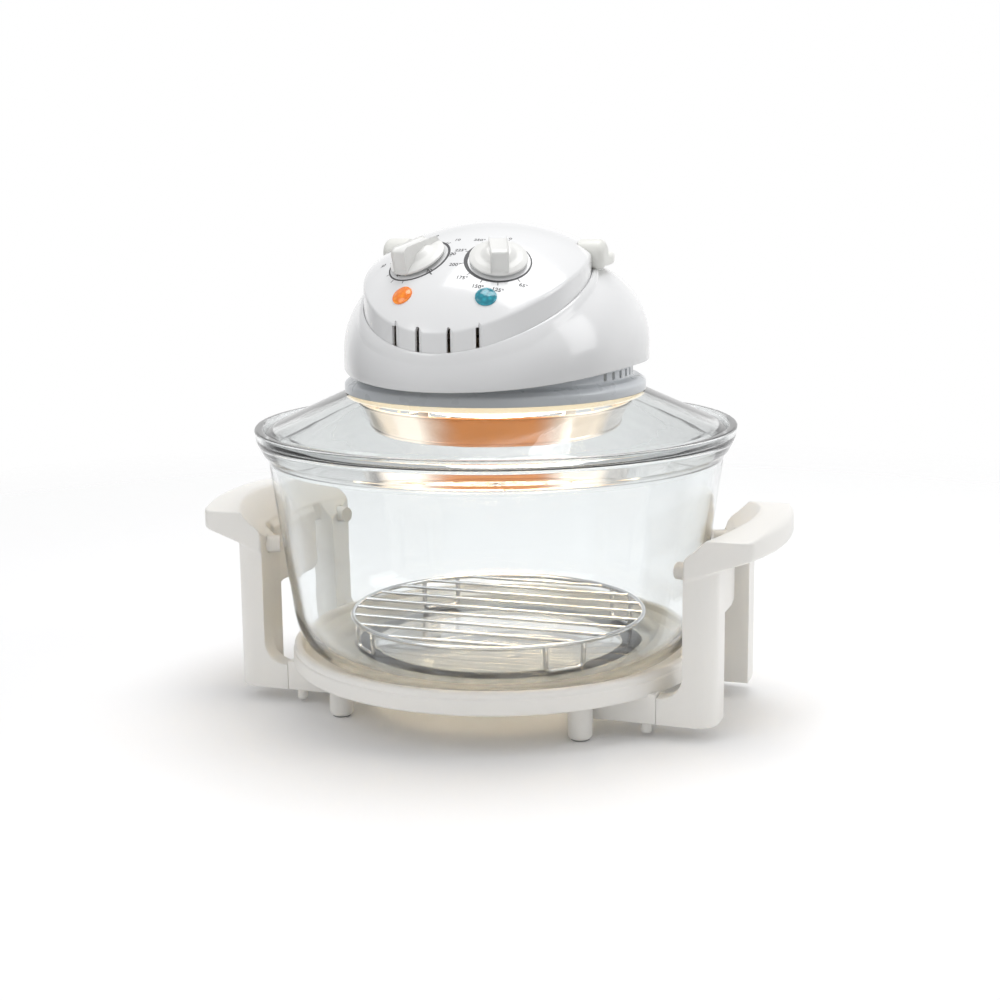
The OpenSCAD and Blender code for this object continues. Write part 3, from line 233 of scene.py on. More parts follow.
def swept(path, section, closed=False, up=(0, 0, 1)):
    """Closed section (side, up) carried along a path, square to it, its up kept near a fixed direction; both
    ends are closed."""
    path, section = np.asarray(path, float), np.asarray(section, float)
    if closed:
        ahead = np.roll(path, -1, axis=0) - np.roll(path, 1, axis=0)
    else:
        ahead = np.gradient(path, axis=0)
    ahead /= np.linalg.norm(ahead, axis=1)[:, None]
    side = np.cross(ahead, np.array(up, float))
    side /= np.linalg.norm(side, axis=1)[:, None]
    over = np.cross(side, ahead)
    points = (path[:, None, :] + section[None, :, :1] * side[:, None, :]
              + section[None, :, 1:] * over[:, None, :])
    if not closed:
        first = np.broadcast_to(path[0], points[:1].shape)
        last = np.broadcast_to(path[-1], points[:1].shape)
        points = np.concatenate([first, points, last])
    return grid(points, close_u=closed, close_v=True)


def circle(radius, sides=16):
    """Points (x, y) of a circle about the origin."""
    a = np.linspace(0, 2 * math.pi, sides, endpoint=False)
    return np.stack([radius * np.cos(a), radius * np.sin(a)], axis=-1)


def wire(path, radius, closed=False, sides=14, up=(0, 0, 1)):
    """Round wire along a path."""
    return swept(path, circle(radius, sides), closed, up)


def bent(corners, radius, steps=8):
    """Path through corners in space, each inner corner a soft bend of about that radius:
    (1 - t)^2 start + 2 t (1 - t) corner + t^2 end."""
    corners = [np.array(c, float) for c in corners]
    out = [corners[0]]
    for before, p, after in zip(corners, corners[1:], corners[2:]):
        start = p + (before - p) / np.linalg.norm(before - p) * radius
        end = p + (after - p) / np.linalg.norm(after - p) * radius
        t = np.linspace(0, 1, steps)[:, None]
        out.extend((1 - t) ** 2 * start + 2 * t * (1 - t) * p + t ** 2 * end)
    out.append(corners[-1])
    return np.array(out)


def stacked(outline, layers):
    """Closed outline (x, y) moved in along its own normals and set at a height, once for each layer
    (inset, height); both ends are closed."""
    outline = np.asarray(outline, float)
    ahead = np.roll(outline, -1, axis=0) - np.roll(outline, 1, axis=0)
    ahead /= np.linalg.norm(ahead, axis=1)[:, None]
    inward = np.stack([-ahead[:, 1], ahead[:, 0]], axis=-1)
    rings = [np.column_stack([outline + inset * inward, np.full(len(outline), z)])
             for inset, z in layers]
    for end, place in ((rings[0], 0), (rings[-1], len(rings) + 1)):
        rings.insert(place, np.broadcast_to(end.mean(axis=0), end.shape))
    return grid(np.array(rings), close_v=True)


def block(low, high, radius, steps=4):
    """Box with every upright edge and both rims rounded; the rims stop just short of a point."""
    (x0, y0, z0), (x1, y1, z1) = low, high
    plan = rounded([(x0, y0, radius), (x1, y0, radius), (x1, y1, radius), (x0, y1, radius)], steps)
    a = np.linspace(0, math.pi / 2, steps + 1)
    inset = 0.98 * radius * np.concatenate([1 - np.sin(a), 1 - np.cos(a)])
    height = np.concatenate([z0 + radius * (1 - np.cos(a)), z1 - radius * (1 - np.sin(a))])
    return stacked(plan, list(zip(inset, height)))


def along_x(part, x=0.0, y=0.0, z=0.0):
    """A part turned so that its upright axis lies along +X, then moved."""
    p = part[0]
    return np.stack([p[:, 2] + x, p[:, 1] + y, -p[:, 0] + z], axis=-1), part[1]


def along_y(part, x=0.0, y=0.0, z=0.0):
    """A part turned so that its upright axis lies along +Y, then moved."""
    p = part[0]
    return np.stack([p[:, 0] + x, p[:, 2] + y, -p[:, 1] + z], axis=-1), part[1]


def shifted(part, x=0.0, y=0.0, z=0.0):
    """A part moved."""
    return part[0] + np.array([x, y, z]), part[1]


def turned_by(part, degrees):
    """A part turned about the upright axis."""
    a = math.radians(degrees)
    spin = np.array([[math.cos(a), -math.sin(a), 0], [math.sin(a), math.cos(a), 0], [0, 0, 1]])
    return part[0] @ spin.T, part[1]


def flipped(part, axis):
    """A part mirrored through the plane square to an axis, 0 for x or 1 for y."""
    sign = np.ones(3)
    sign[axis] = -1
    return part[0] * sign, part[1]


def four_corners(part):
    """A part in front on the right, and its three mirror images."""
    across = flipped(part, 0)
    return [part, across, flipped(part, 1), flipped(across, 1)]


def mesh_of(name, parts):
    """One mesh, in metres, of several closed skins; doubled corners at seams and poles are merged."""
    points, quads, count = [], [], 0
    for part in parts:
        corners, faces = outward(part)
        points.append(corners * MM)
        quads.append(faces + count)
        count += len(corners)
    points, quads = np.concatenate(points), np.concatenate(quads)
    mesh = bpy.data.meshes.new(name)
    mesh.from_pydata(points.tolist(), [], quads.tolist())
    bm = bmesh.new()
    bm.from_mesh(mesh)
    bmesh.ops.remove_doubles(bm, verts=bm.verts, dist=1e-6)
    bmesh.ops.dissolve_degenerate(bm, dist=1e-7, edges=bm.edges)
    bm.to_mesh(mesh)
    bm.free()
    return mesh


def shaded(mesh, sharp=38):
    """Smooth shading, with an edge kept sharp where its faces meet at more than that many degrees."""
    mesh.shade_smooth()
    mesh.set_sharp_from_angle(angle=math.radians(sharp))


def piece(name, parts, body, finish, replaces=(), sharp=38):
    """A new object of closed skins that rides on a body and stands for CAD nodes."""
    mesh = parts if isinstance(parts, bpy.types.Mesh) else mesh_of(name, parts)
    shaded(mesh, sharp)
    obj = bpy.data.objects.new(name, mesh)
    bpy.context.collection.objects.link(obj)
    mesh.materials.clear()
    mesh.materials.append(finish)
    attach(obj, body)
    if replaces:
        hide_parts(*replaces)
    return obj


def cut(obj, parts):
    """Takes closed skins away from an object."""
    tool = bpy.data.objects.new("cutter", mesh_of("cutter", parts))
    bpy.context.collection.objects.link(tool)
    boolean = obj.modifiers.new("cut", "BOOLEAN")
    boolean.object = tool
    boolean.operation = "DIFFERENCE"
    boolean.solver = "EXACT"
    bpy.context.view_layer.update()
    done = bpy.data.meshes.new_from_object(obj.evaluated_get(bpy.context.evaluated_depsgraph_get()))
    obj.modifiers.clear()
    materials = list(obj.data.materials)
    obj.data = done
    done.materials.clear()
    for material in materials:
        done.materials.append(material)
    bpy.data.objects.remove(tool)
    shaded(done)


# ---------------------------------------------------------------- the domed top


class DomeSpot:
    """A place on the dome at plan (x, y): its outward normal, tangents right and ahead that lie along +X and
    away from the front, and tangents side and back that lie across and up the slope."""

    def __init__(self, x, y):
        self.centre = np.array([0, 0, DOME_Z])
        height = math.sqrt(DOME_R ** 2 - x * x - y * y)
        self.normal = np.array([x, y, height]) / DOME_R
        right = np.array([1.0, 0, 0])
        self.right = right - self.normal * (right @ self.normal)
        self.right /= np.linalg.norm(self.right)
        self.ahead = np.cross(self.normal, self.right)
        self.place = self.centre + DOME_R * self.normal
        turn = math.atan2(x, -y)
        downhill = np.array([math.sin(turn), -math.cos(turn), 0])
        downhill -= self.normal * (downhill @ self.normal)
        downhill /= np.linalg.norm(downhill)
        self.back = -downhill
        self.side = np.cross(self.back, self.normal)

    def stand(self, part):
        """A part whose origin stands on the dome, its y up the slope and its z along the normal."""
        p = part[0]
        return (self.place + p[:, :1] * self.side + p[:, 1:2] * self.back
                + p[:, 2:] * self.normal, part[1])

    def lay(self, flat, lift):
        """Flat points (right, ahead) laid on the dome and raised by lift along its radius."""
        p = self.normal * DOME_R + flat[..., :1] * self.right + flat[..., 1:2] * self.ahead
        p = p / np.linalg.norm(p, axis=-1)[..., None]
        return self.centre + (DOME_R + lift) * p


TIMER_SPOT = DomeSpot(-KNOB_X, KNOB_Y)
THERMOSTAT_SPOT = DomeSpot(KNOB_X, KNOB_Y)


# ---------------------------------------------------------------- shader tools


def both_ways(operation):
    """Two methods that add a Math node: the varying number comes first in one and last in the other."""
    return (lambda self, other: self.maths(operation, self, other),
            lambda self, other: self.maths(operation, other, self))


class Value:
    """A number that varies over the surface; sums and products of it add Math nodes."""

    def __init__(self, finish, socket):
        self.finish, self.socket = finish, socket

    def maths(self, operation, *others):
        node = self.finish.tree.nodes.new("ShaderNodeMath")
        node.operation = operation
        for socket, value in zip(node.inputs, others):
            self.finish.feed(socket, value)
        return Value(self.finish, node.outputs[0])

    __add__, __radd__ = both_ways("ADD")
    __sub__, __rsub__ = both_ways("SUBTRACT")
    __mul__, __rmul__ = both_ways("MULTIPLY")
    __truediv__, __rtruediv__ = both_ways("DIVIDE")

    def power(self, other):
        return self.maths("POWER", self, other)

    def clamped(self):
        return self.maths("MINIMUM", self.maths("MAXIMUM", self, 0.0), 1.0)


class Finish:
    """One surface finish: a Principled shader and what feeds it."""

    def __init__(self, name, color, roughness, metallic=0.0, **fixed):
        self.material = bpy.data.materials.new(name)
        self.material.use_nodes = True
        self.material.diffuse_color = (*color, 1)
        self.tree = self.material.node_tree
        self.tree.nodes.clear()
        self.out = self.tree.nodes.new("ShaderNodeOutputMaterial")
        self.shader = self.tree.nodes.new("ShaderNodeBsdfPrincipled")
        self.tree.links.new(self.shader.outputs[0], self.out.inputs["Surface"])
        self.set("Base Color", color)
        self.set("Roughness", roughness)
        self.set("Metallic", metallic)
        for key, value in fixed.items():
            self.set(key.replace("_", " "), value)

    def feed(self, socket, value):
        """Links a varying value into a socket, or sets a fixed one on it."""
        if isinstance(value, Value):
            self.tree.links.new(value.socket, socket)
        elif hasattr(value, "__len__") and len(value) == 3 and socket.type == "RGBA":
            socket.default_value = (*value, 1)
        else:
            socket.default_value = value

    def set(self, socket, value):
        """Feeds a socket of the shader."""
        self.feed(self.shader.inputs[socket], value)

    def node(self, kind, settings, inputs, output=0):
        """Any other node: its settings first, then the values or links of its sockets."""
        node = self.tree.nodes.new("ShaderNode" + kind)
        for key, value in settings.items():
            setattr(node, key, value)
        for key, value in inputs.items():
            self.feed(node.inputs[key], value)
        return Value(self, node.outputs[output])

    def place(self):
        """Object coordinates, which are the oven's own frame in metres."""
        return self.node("TexCoord", {}, {}, "Object")

    def parts_of(self, vector):
        """The three numbers of a vector."""
        node = self.tree.nodes.new("ShaderNodeSeparateXYZ")
        self.feed(node.inputs[0], vector)
        return [Value(self, node.outputs[k]) for k in range(3)]

    def noise(self, scale, detail=3.0, roughness=0.5, stretch=None):
        """Cloudy noise from 0 to 1 with a grain of 1 / scale metres."""
        place = self.place()
        if stretch:
            place = self.node("Mapping", {}, {"Vector": place, "Scale": stretch})
        return self.node("TexNoise", {}, {"Vector": place, "Scale": scale, "Detail": detail,
                                          "Roughness": roughness})

    def blend(self, mask, a, b):
        """Colour a where the mask is 0 and colour b where it is 1."""
        node = self.tree.nodes.new("ShaderNodeMix")
        node.data_type = "RGBA"
        self.feed(node.inputs["Factor"], mask)
        self.feed(node.inputs[6], a)
        self.feed(node.inputs[7], b)
        return Value(self, node.outputs[2])

    def bump(self, height, distance, strength=1.0):
        """Relief of that height in metres, fed to Normal."""
        self.set("Normal", self.node("Bump", {}, {"Height": height, "Distance": distance,
                                                  "Strength": strength}))


def moulding(name, color, shade, roughness, grain=0.00002, **fixed):
    """Moulded plastic: faint flow clouds in colour and gloss, and a fine orange-peel skin."""
    f = Finish(name, color, roughness, **fixed)
    clouds = f.noise(14.0, 3.0)
    f.set("Base Color", f.blend(clouds, color, shade))
    f.set("Roughness", roughness + 0.10 * (f.noise(60.0, 4.0) - 0.5))
    f.bump(f.noise(900.0, 2.0), grain)
    return f.material


def clear_glass(name, color):
    """Clear pressed glass: long soft ripples left by the mould."""
    f = Finish(name, color, 0.0, Transmission_Weight=1.0, IOR=1.5)
    f.bump(f.noise(22.0, 1.5), 0.0006, 0.35)
    return f.material


def sheet_metal(name, color, roughness, stretch=(1.0, 1.0, 30.0)):
    """Drawn sheet: fine parallel scratches and a little cloud in the gloss."""
    f = Finish(name, color, roughness, 1.0)
    scratch = f.noise(220.0, 4.0, 0.6, stretch)
    uneven = 0.22 * (scratch - 0.5) + 0.10 * (f.noise(30.0, 2.0) - 0.5)
    f.set("Roughness", (roughness + uneven).clamped())
    f.bump(scratch, 0.00003)
    return f.material


def plain_metal(name, color, roughness):
    """Plated or turned metal with faint uneven gloss."""
    f = Finish(name, color, roughness, 1.0)
    f.set("Roughness", (roughness + 0.16 * (f.noise(120.0, 3.0) - 0.5)).clamped())
    f.bump(f.noise(500.0, 3.0), 0.00002)
    return f.material


def lens(name, color, deep):
    """Coloured lens with faceted cells and a little glow: the lens colour at the middle of each cell and a
    deeper colour between them paint highlight dots.
    """
    f = Finish(name, color, 0.08, Coat_Weight=0.6, Coat_Roughness=0.03)
    cells = f.node("TexVoronoi", {}, {"Vector": f.place(), "Scale": 320.0})
    # painted highlight: the lens colour at the middle of each cell, deeper between, gives bright dots
    f.set("Base Color", f.blend((cells * 1.6).clamped(), color, deep))
    f.set("Emission Color", color)
    f.set("Emission Strength", 0.25)
    f.bump(cells, 0.0004)
    return f.material


def tube_lit_steel(name, face):
    """Guard wall with the tube's light on it painted as colour and glow: a warm band in front and behind, a
    bright zone on each side of a band, and dark steel between the zones. With f the way to the front band, an
    angle t away from it has cos 2t = ((x^2 - y^2) cos 2f + 2 x y sin 2f) / (x^2 + y^2)."""
    f = Finish(name, (0.78, 0.72, 0.66), 0.2, 1.0)
    x, y, _ = f.parts_of(f.place())
    across, over = x * x, y * y
    turn = ((across - over) * math.cos(2 * face) + 2.0 * (x * y) * math.sin(2 * face)) / (across + over)
    turn = turn + 0.35 * (f.noise(26.0, 2.0) - 0.5)
    warm = ((turn - 0.45) * 2.6).clamped()
    bright = (1.0 - warm) * ((turn + 0.5) * 2.8).clamped()
    # painted light: the warm band tints the steel orange-brown and glows, and the bright zones glow, standing
    # in for the tube's light
    f.set("Base Color", f.blend(warm, (0.74, 0.71, 0.68), (0.52, 0.24, 0.10)))
    glow = f.blend(bright, (0.015, 0.008, 0.004), (0.85, 0.72, 0.58))
    f.set("Emission Color", f.blend(warm, glow, (0.34, 0.105, 0.018)))
    f.set("Emission Strength", 1.0)
    scratch = f.noise(220.0, 4.0, 0.6, (1.0, 1.0, 30.0))
    f.set("Roughness", (0.2 + 0.2 * (scratch - 0.5)).clamped())
    return f.material


def lit_metal(name, color, roughness, glow):
    """Polished metal close to the tube, with the tube's light on it in soft patches."""
    f = Finish(name, color, roughness, 1.0)
    patches = f.noise(40.0, 2.0)
    f.set("Roughness", (roughness + 0.2 * (patches - 0.5)).clamped())
    f.set("Emission Color", f.blend(patches, glow, (1.0, 0.90, 0.72)))
    f.set("Emission Strength", 0.9)
    return f.material


def glowing(name, color, strength, base):
    """Hot quartz: light from the filament, brighter in the middle of its coils."""
    f = Finish(name, base, 0.15)
    coil = f.node("TexWave", {"bands_direction": "DIAGONAL"}, {"Vector": f.place(), "Scale": 90.0,
                                                               "Distortion": 1.0})
    f.set("Emission Color", f.blend(coil, color, (1.0, 0.86, 0.62)))
    f.set("Emission Strength", strength)
    return f.material


WHITE_SHELL = moulding("white_gloss_moulding", (0.86, 0.865, 0.87), (0.84, 0.845, 0.85), 0.18,
                       Coat_Weight=0.5, Coat_Roughness=0.06)
KNOB_WHITE = moulding("knob_moulding", (0.84, 0.84, 0.82), (0.80, 0.80, 0.78), 0.30)
HANDLE_WHITE = moulding("carry_handle_moulding", (0.82, 0.82, 0.78), (0.78, 0.78, 0.74), 0.34)
IVORY = moulding("ivory_stand_moulding", (0.88, 0.865, 0.83), (0.855, 0.84, 0.80), 0.33,
                 Coat_Weight=0.15, Coat_Roughness=0.2)
BASE_GREY = moulding("grey_base_moulding", (0.70, 0.73, 0.76), (0.66, 0.69, 0.72), 0.28,
                     Coat_Weight=0.3, Coat_Roughness=0.1)
FOOT_RUBBER = moulding("foot_rubber", (0.30, 0.30, 0.29), (0.24, 0.24, 0.23), 0.75, 0.00006)
SEAL_SILICONE = moulding("seal_silicone", (0.86, 0.84, 0.80), (0.80, 0.78, 0.74), 0.5, 0.00004)
INNER_PLASTIC = moulding("inner_moulding", (0.78, 0.75, 0.68), (0.72, 0.69, 0.62), 0.45)
PHENOLIC = moulding("dark_phenolic", (0.035, 0.035, 0.04), (0.06, 0.055, 0.05), 0.5)
CERAMIC = moulding("bare_ceramic", (0.80, 0.77, 0.70), (0.72, 0.69, 0.62), 0.7, 0.00008)
INSULATION = moulding("red_insulation", (0.50, 0.05, 0.04), (0.42, 0.04, 0.03), 0.45)
PRINT = moulding("grey_print", (0.06, 0.06, 0.065), (0.08, 0.08, 0.085), 0.5, 0.00001)
BOWL_GLASS = clear_glass("bowl_glass", (0.94, 0.96, 0.962))
LID_GLASS = clear_glass("lid_glass", (0.86, 0.875, 0.87))
GUARD_STEEL = sheet_metal("guard_steel", (0.78, 0.74, 0.70), 0.22)
BRIGHT_ALUMINIUM = sheet_metal("bright_aluminium", (0.88, 0.87, 0.86), 0.2, (1.0, 30.0, 1.0))
CHROME = plain_metal("chromed_wire", (0.80, 0.80, 0.81), 0.12)
ZINC = plain_metal("zinc_plate", (0.66, 0.67, 0.69), 0.35)
COPPER = plain_metal("bare_copper", (0.78, 0.42, 0.26), 0.32)
BRASS = plain_metal("stamped_brass", (0.80, 0.62, 0.30), 0.34)
IRON = plain_metal("motor_iron", (0.30, 0.31, 0.34), 0.5)
ORANGE_LENS = lens("orange_lens", (0.93, 0.30, 0.01), (0.72, 0.14, 0.005))
TEAL_LENS = lens("teal_lens", (0.02, 0.34, 0.42), (0.004, 0.13, 0.19))
LIT_REFLECTOR = lit_metal("lit_reflector", (0.88, 0.86, 0.82), 0.25, (1.0, 0.78, 0.48))
# painted light on the guard: bands of colour and glow stand in for the tube's light
TUBE_LIT_GUARD = tube_lit_steel("tube_lit_guard_steel", math.radians(-73.0))
HOT_TUBE = glowing("hot_quartz_tube", (1.0, 0.76, 0.48), 13.0, (1.0, 0.85, 0.6))
BULB = glowing("bulb_glass", (1.0, 0.62, 0.25), 1.5, (1.0, 0.9, 0.7))


# ---------------------------------------------------------------- stand


def stand_moulding():
    """Ring turned from its section, four feet with round ends, and four brackets under the ring."""
    lip_r, lip_z = RING_R - 0.5, RING_TOP - 0.2
    ring = turned(rounded([
        (RING_R - RING_T, RING_BOTTOM, 0.8), (RING_R, RING_BOTTOM, 2.2),
        (RING_R, RING_TOP - 5.6, 1.2), (RING_R - 0.9, RING_TOP - 4.6, 0.6),
        (lip_r, lip_z, RING_LIP - 0.6), (lip_r - 2 * RING_LIP, lip_z, RING_LIP - 0.6),
        (RING_R - 8.5, RING_TOP - 5.5, 2.0), (RING_R - 12, SEAT_Z + 2, 3.0),
        (RING_R - 15, SEAT_Z, 3.0), (RING_HOLE_R, SEAT_Z, 1.0), (RING_HOLE_R, RING_FLOOR, 1.0),
        (RING_R - RING_T, RING_FLOOR, 0.6)]), 288)
    foot = turned(rounded([
        (0, RING_FLOOR + 1, 0), (FOOT_D / 2, RING_FLOOR + 1, 0), (FOOT_D / 2, FOOT_END_Z, 3.4),
        (FOOT_D / 2 - 4.6, FOOT_END_Z, 0), (0, FOOT_END_Z, 0)], 8, closed=False), 48, closed=False)
    foot = turned_by(shifted(foot, FOOT_POS_R), FOOT_ANGLE - 90)
    bracket = block((BRACKET_X0, -LEG_FRONT, LEG_BOTTOM),
                    (SEAM_X - SEAM_GAP, -LEG_FRONT + BRACKET_T, RING_FLOOR + 0.5), 1.0)
    return [ring] + four_corners(foot) + four_corners(bracket)


piece("ivory_ring_and_feet", stand_moulding(), "stand", IVORY, ["stand_ring"])


def rounded_moulding(node, name, body, finish, voxel, passes):
    """A copy of a CAD node, merged, remeshed evenly and smoothed so that each edge gets a moulded radius."""
    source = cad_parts[node]
    copy = bpy.data.objects.new(name, source.data.copy())
    bpy.context.collection.objects.link(copy)
    bm = bmesh.new()
    bm.from_mesh(copy.data)
    bmesh.ops.remove_doubles(bm, verts=bm.verts, dist=1e-6)
    bm.to_mesh(copy.data)
    bm.free()
    remesh = copy.modifiers.new("even", "REMESH")
    remesh.mode = "VOXEL"
    remesh.voxel_size = voxel * MM
    smooth = copy.modifiers.new("edges", "SMOOTH")
    smooth.factor = 0.5
    smooth.iterations = passes
    bpy.context.view_layer.update()
    done = bpy.data.meshes.new_from_object(copy.evaluated_get(bpy.context.evaluated_depsgraph_get()))
    bpy.data.objects.remove(copy)
    return piece(name, done, body, finish, [node], sharp=60)


for side in ("left", "right"):
    rounded_moulding(f"{side}_side_handle", f"{side}_handle_moulding", "stand", IVORY,
                     1.0, 4)


def foot_tip():
    """Rubber disc with a rounded edge, under a foot."""
    tip = turned(rounded([(0, 0, 0), (TIP_R, 0, 0.6), (TIP_R, TIP_H, 0.3), (0, TIP_H, 0)], 4, closed=False),
                 40, closed=False)
    return turned_by(shifted(tip, FOOT_POS_R), FOOT_ANGLE - 90)


piece("foot_tips", four_corners(foot_tip()), "stand", FOOT_RUBBER, ["rubber_foot_tips"])


# ---------------------------------------------------------------- bowl and lid


def bowl_outline(steps=60):
    """Straight leaning wall over a superelliptic corner, and a thick flared band at the rim."""
    rise = NECK_Z - SEAT_Z
    z = SEAT_Z + rise * np.linspace(0, 1, steps) ** 1.6
    u = np.minimum(1, (z - SEAT_Z) / BASE_FILLET)
    drop = BASE_FILLET * (1 - (1 - (1 - u) ** 2.5) ** 0.4)
    wall = FOOT_R + WALL_LEAN * (z - SEAT_Z) / rise - drop
    outer = np.column_stack([wall, z])
    thin = GLASS_T * (1 - np.linspace(0, 1, steps))
    inner = np.column_stack([wall - GLASS_T, z + thin])[::-1]
    band = rounded([
        (wall[-1], NECK_Z, 0), (RIM_R - 5.6, NECK_Z + 3.4, 5), (RIM_R - 1.2, NECK_Z + 12, 12),
        (RIM_R, RIM_Z, 1.5), (RECESS_R, RIM_Z, 1.8), (RECESS_R, LID_SEAT_Z, 0.8),
        (NECK_R - GLASS_T, LID_SEAT_Z, 2.5),
        (NECK_R - GLASS_T, NECK_Z, 0)], 8, closed=False)
    return np.concatenate([[(0, SEAT_Z)], outer, band[1:-1], inner, [(0, SEAT_Z + GLASS_T)]])


piece("clear_bowl", [turned(bowl_outline(), 256, closed=False)], "bowl", BOWL_GLASS,
      ["glass_bowl"], sharp=70)


def lid_top(r):
    """Height of the glass cone's top at radius r."""
    return LID_SEAT_Z + LID_EDGE_H + (LID_R - r) * LID_SLOPE


def lid_outline():
    """Glass cone with a rounded edge that lies in the bowl's rim."""
    edge_in = LID_R - LID_T
    return rounded([
        (edge_in, LID_SEAT_Z, 1.0), (LID_R, LID_SEAT_Z, 1.4), (LID_R, LID_SEAT_Z + LID_EDGE_H - 0.2, 1.6),
        (LID_R - 6, lid_top(LID_R - 6), 3), (LID_HOLE_R, lid_top(LID_HOLE_R), 0.8),
        (LID_HOLE_R, lid_top(LID_HOLE_R) - LID_T, 0.8), (edge_in - 2, lid_top(edge_in - 2) - LID_T, 2)], 6)


piece("clear_lid", [turned(lid_outline(), 256)], "lid", LID_GLASS, ["glass_lid"], sharp=70)


def rack_wires():
    """Ring wire, cross wires with ends welded under it, and four feet bent from one wire each."""
    low, high = box_mm("wire_rack")
    top = high[2] - RACK_RIM_R
    reach = high[0] - RACK_RIM_R
    foot = low[2] + RACK_RIM_R
    ring = wire(np.column_stack([circle(reach, 160), np.full(160, top)]), RACK_RIM_R, closed=True)
    parts = [ring]
    for i in range(-4, 5):
        y = i * RACK_PITCH
        if abs(y) < reach:
            half = math.sqrt(reach ** 2 - y * y)
            x = np.linspace(-half, half, 12)
            parts.append(wire(np.column_stack([x, np.full(12, y), np.full(12, top)]), RACK_WIRE_R))
    for a in range(45, 360, 90):
        path = bent([(reach - 2, y, z) for y, z in ((-RACK_FOOT_HALF_W, top), (-RACK_FOOT_HALF_W, foot),
                                                    (RACK_FOOT_HALF_W, foot), (RACK_FOOT_HALF_W, top))], 5)
        parts.append(turned_by(wire(path, RACK_RIM_R, up=(1, 0, 0)), a))
    return parts


piece("chromed_rack", rack_wires(), "rack", CHROME, ["wire_rack"], sharp=80)


# ---------------------------------------------------------------- head: base and shell


def base_outline():
    """Grey ring between the glass and the shell, with a soft nose and a riser inside the shell."""
    lip = BASE_R - 1
    clamp_in = RISER_R - 7
    over = 1.35
    return rounded([
        (clamp_in, CLAMP_TOP + 0.1, 0.5), (LID_HOLE_R - 0.5, CLAMP_TOP + 0.1, 0.3),
        (LID_HOLE_R + 0.2, lid_top(LID_HOLE_R) + over, 0.3), (lip - 1.6, lid_top(lip - 1.6) + over, 0.3),
        (lip - 1.2, lid_top(lip - 1.2) + 0.4, 0.2), (lip, lid_top(lip) + 0.5, 0.7),
        (lip, BASE_TOP - 3.6, 2.6), (lip - 4.0, BASE_TOP - 0.9, 2.6), (RISER_R, BASE_TOP, 2.4),
        (RISER_R, RISER_TOP, 0.6), (RISER_R - 6, RISER_TOP, 0.6), (RISER_R - 6, RISER_TOP - 2.8, 0.4),
        (clamp_in - 3, RISER_TOP - 5.8, 0.8), (clamp_in - 3, CLAMP_TOP + 6, 0.8)], 6)


def base_vents():
    """Cutters for the upright slots in the riser, the same on each side."""
    slot = block((RISER_R - 12, -VENT_W / 2, VENT_LOW), (RISER_R + 2, VENT_W / 2, VENT_HIGH), 1.2, 3)
    middle = (VENTS_A_SIDE - 1) / 2
    return [turned_by(slot, side + VENT_PITCH * (i - middle)) for side in (0, 180)
            for i in range(VENTS_A_SIDE)]


base = piece("grey_head_base", [turned(base_outline(), 240)], "lid", BASE_GREY,
             ["head_base"])
cut(base, base_vents())


def egg(a, y0, w, front, back):
    """Radius at angle a of two half ellipses that meet at their widest, at depth y0: with p = r cos a + y0,
    (r sin a / w)^2 + (p / length)^2 = 1."""
    widest = math.atan2(w, -y0)
    length = np.where(np.abs(a) < widest, front, back)
    qa = (np.sin(a) / w) ** 2 + (np.cos(a) / length) ** 2
    qb = 2 * y0 * np.cos(a) / length ** 2
    qc = (y0 / length) ** 2 - 1
    return (-qb + np.sqrt(qb * qb - 4 * qa * qc)) / (2 * qa)


def panel_edge(a, grow):
    """Radius of the panel's outline at angle a."""
    return egg(a, PANEL_Y0, PANEL_HALF_W + grow, PANEL_FRONT + grow, PANEL_BACK + grow)


def shell_edge(a):
    """Radius of the shell's outline at angle a."""
    return egg(a, SHELL_Y0, SHELL_HALF_W, SHELL_FRONT + SHELL_Y0, SHELL_BACK - SHELL_Y0)


def polar(a, r, z):
    """Point at angle a from the front, radius r and height z."""
    return np.stack([r * np.sin(a), -r * np.cos(a), z + 0 * a], axis=-1)


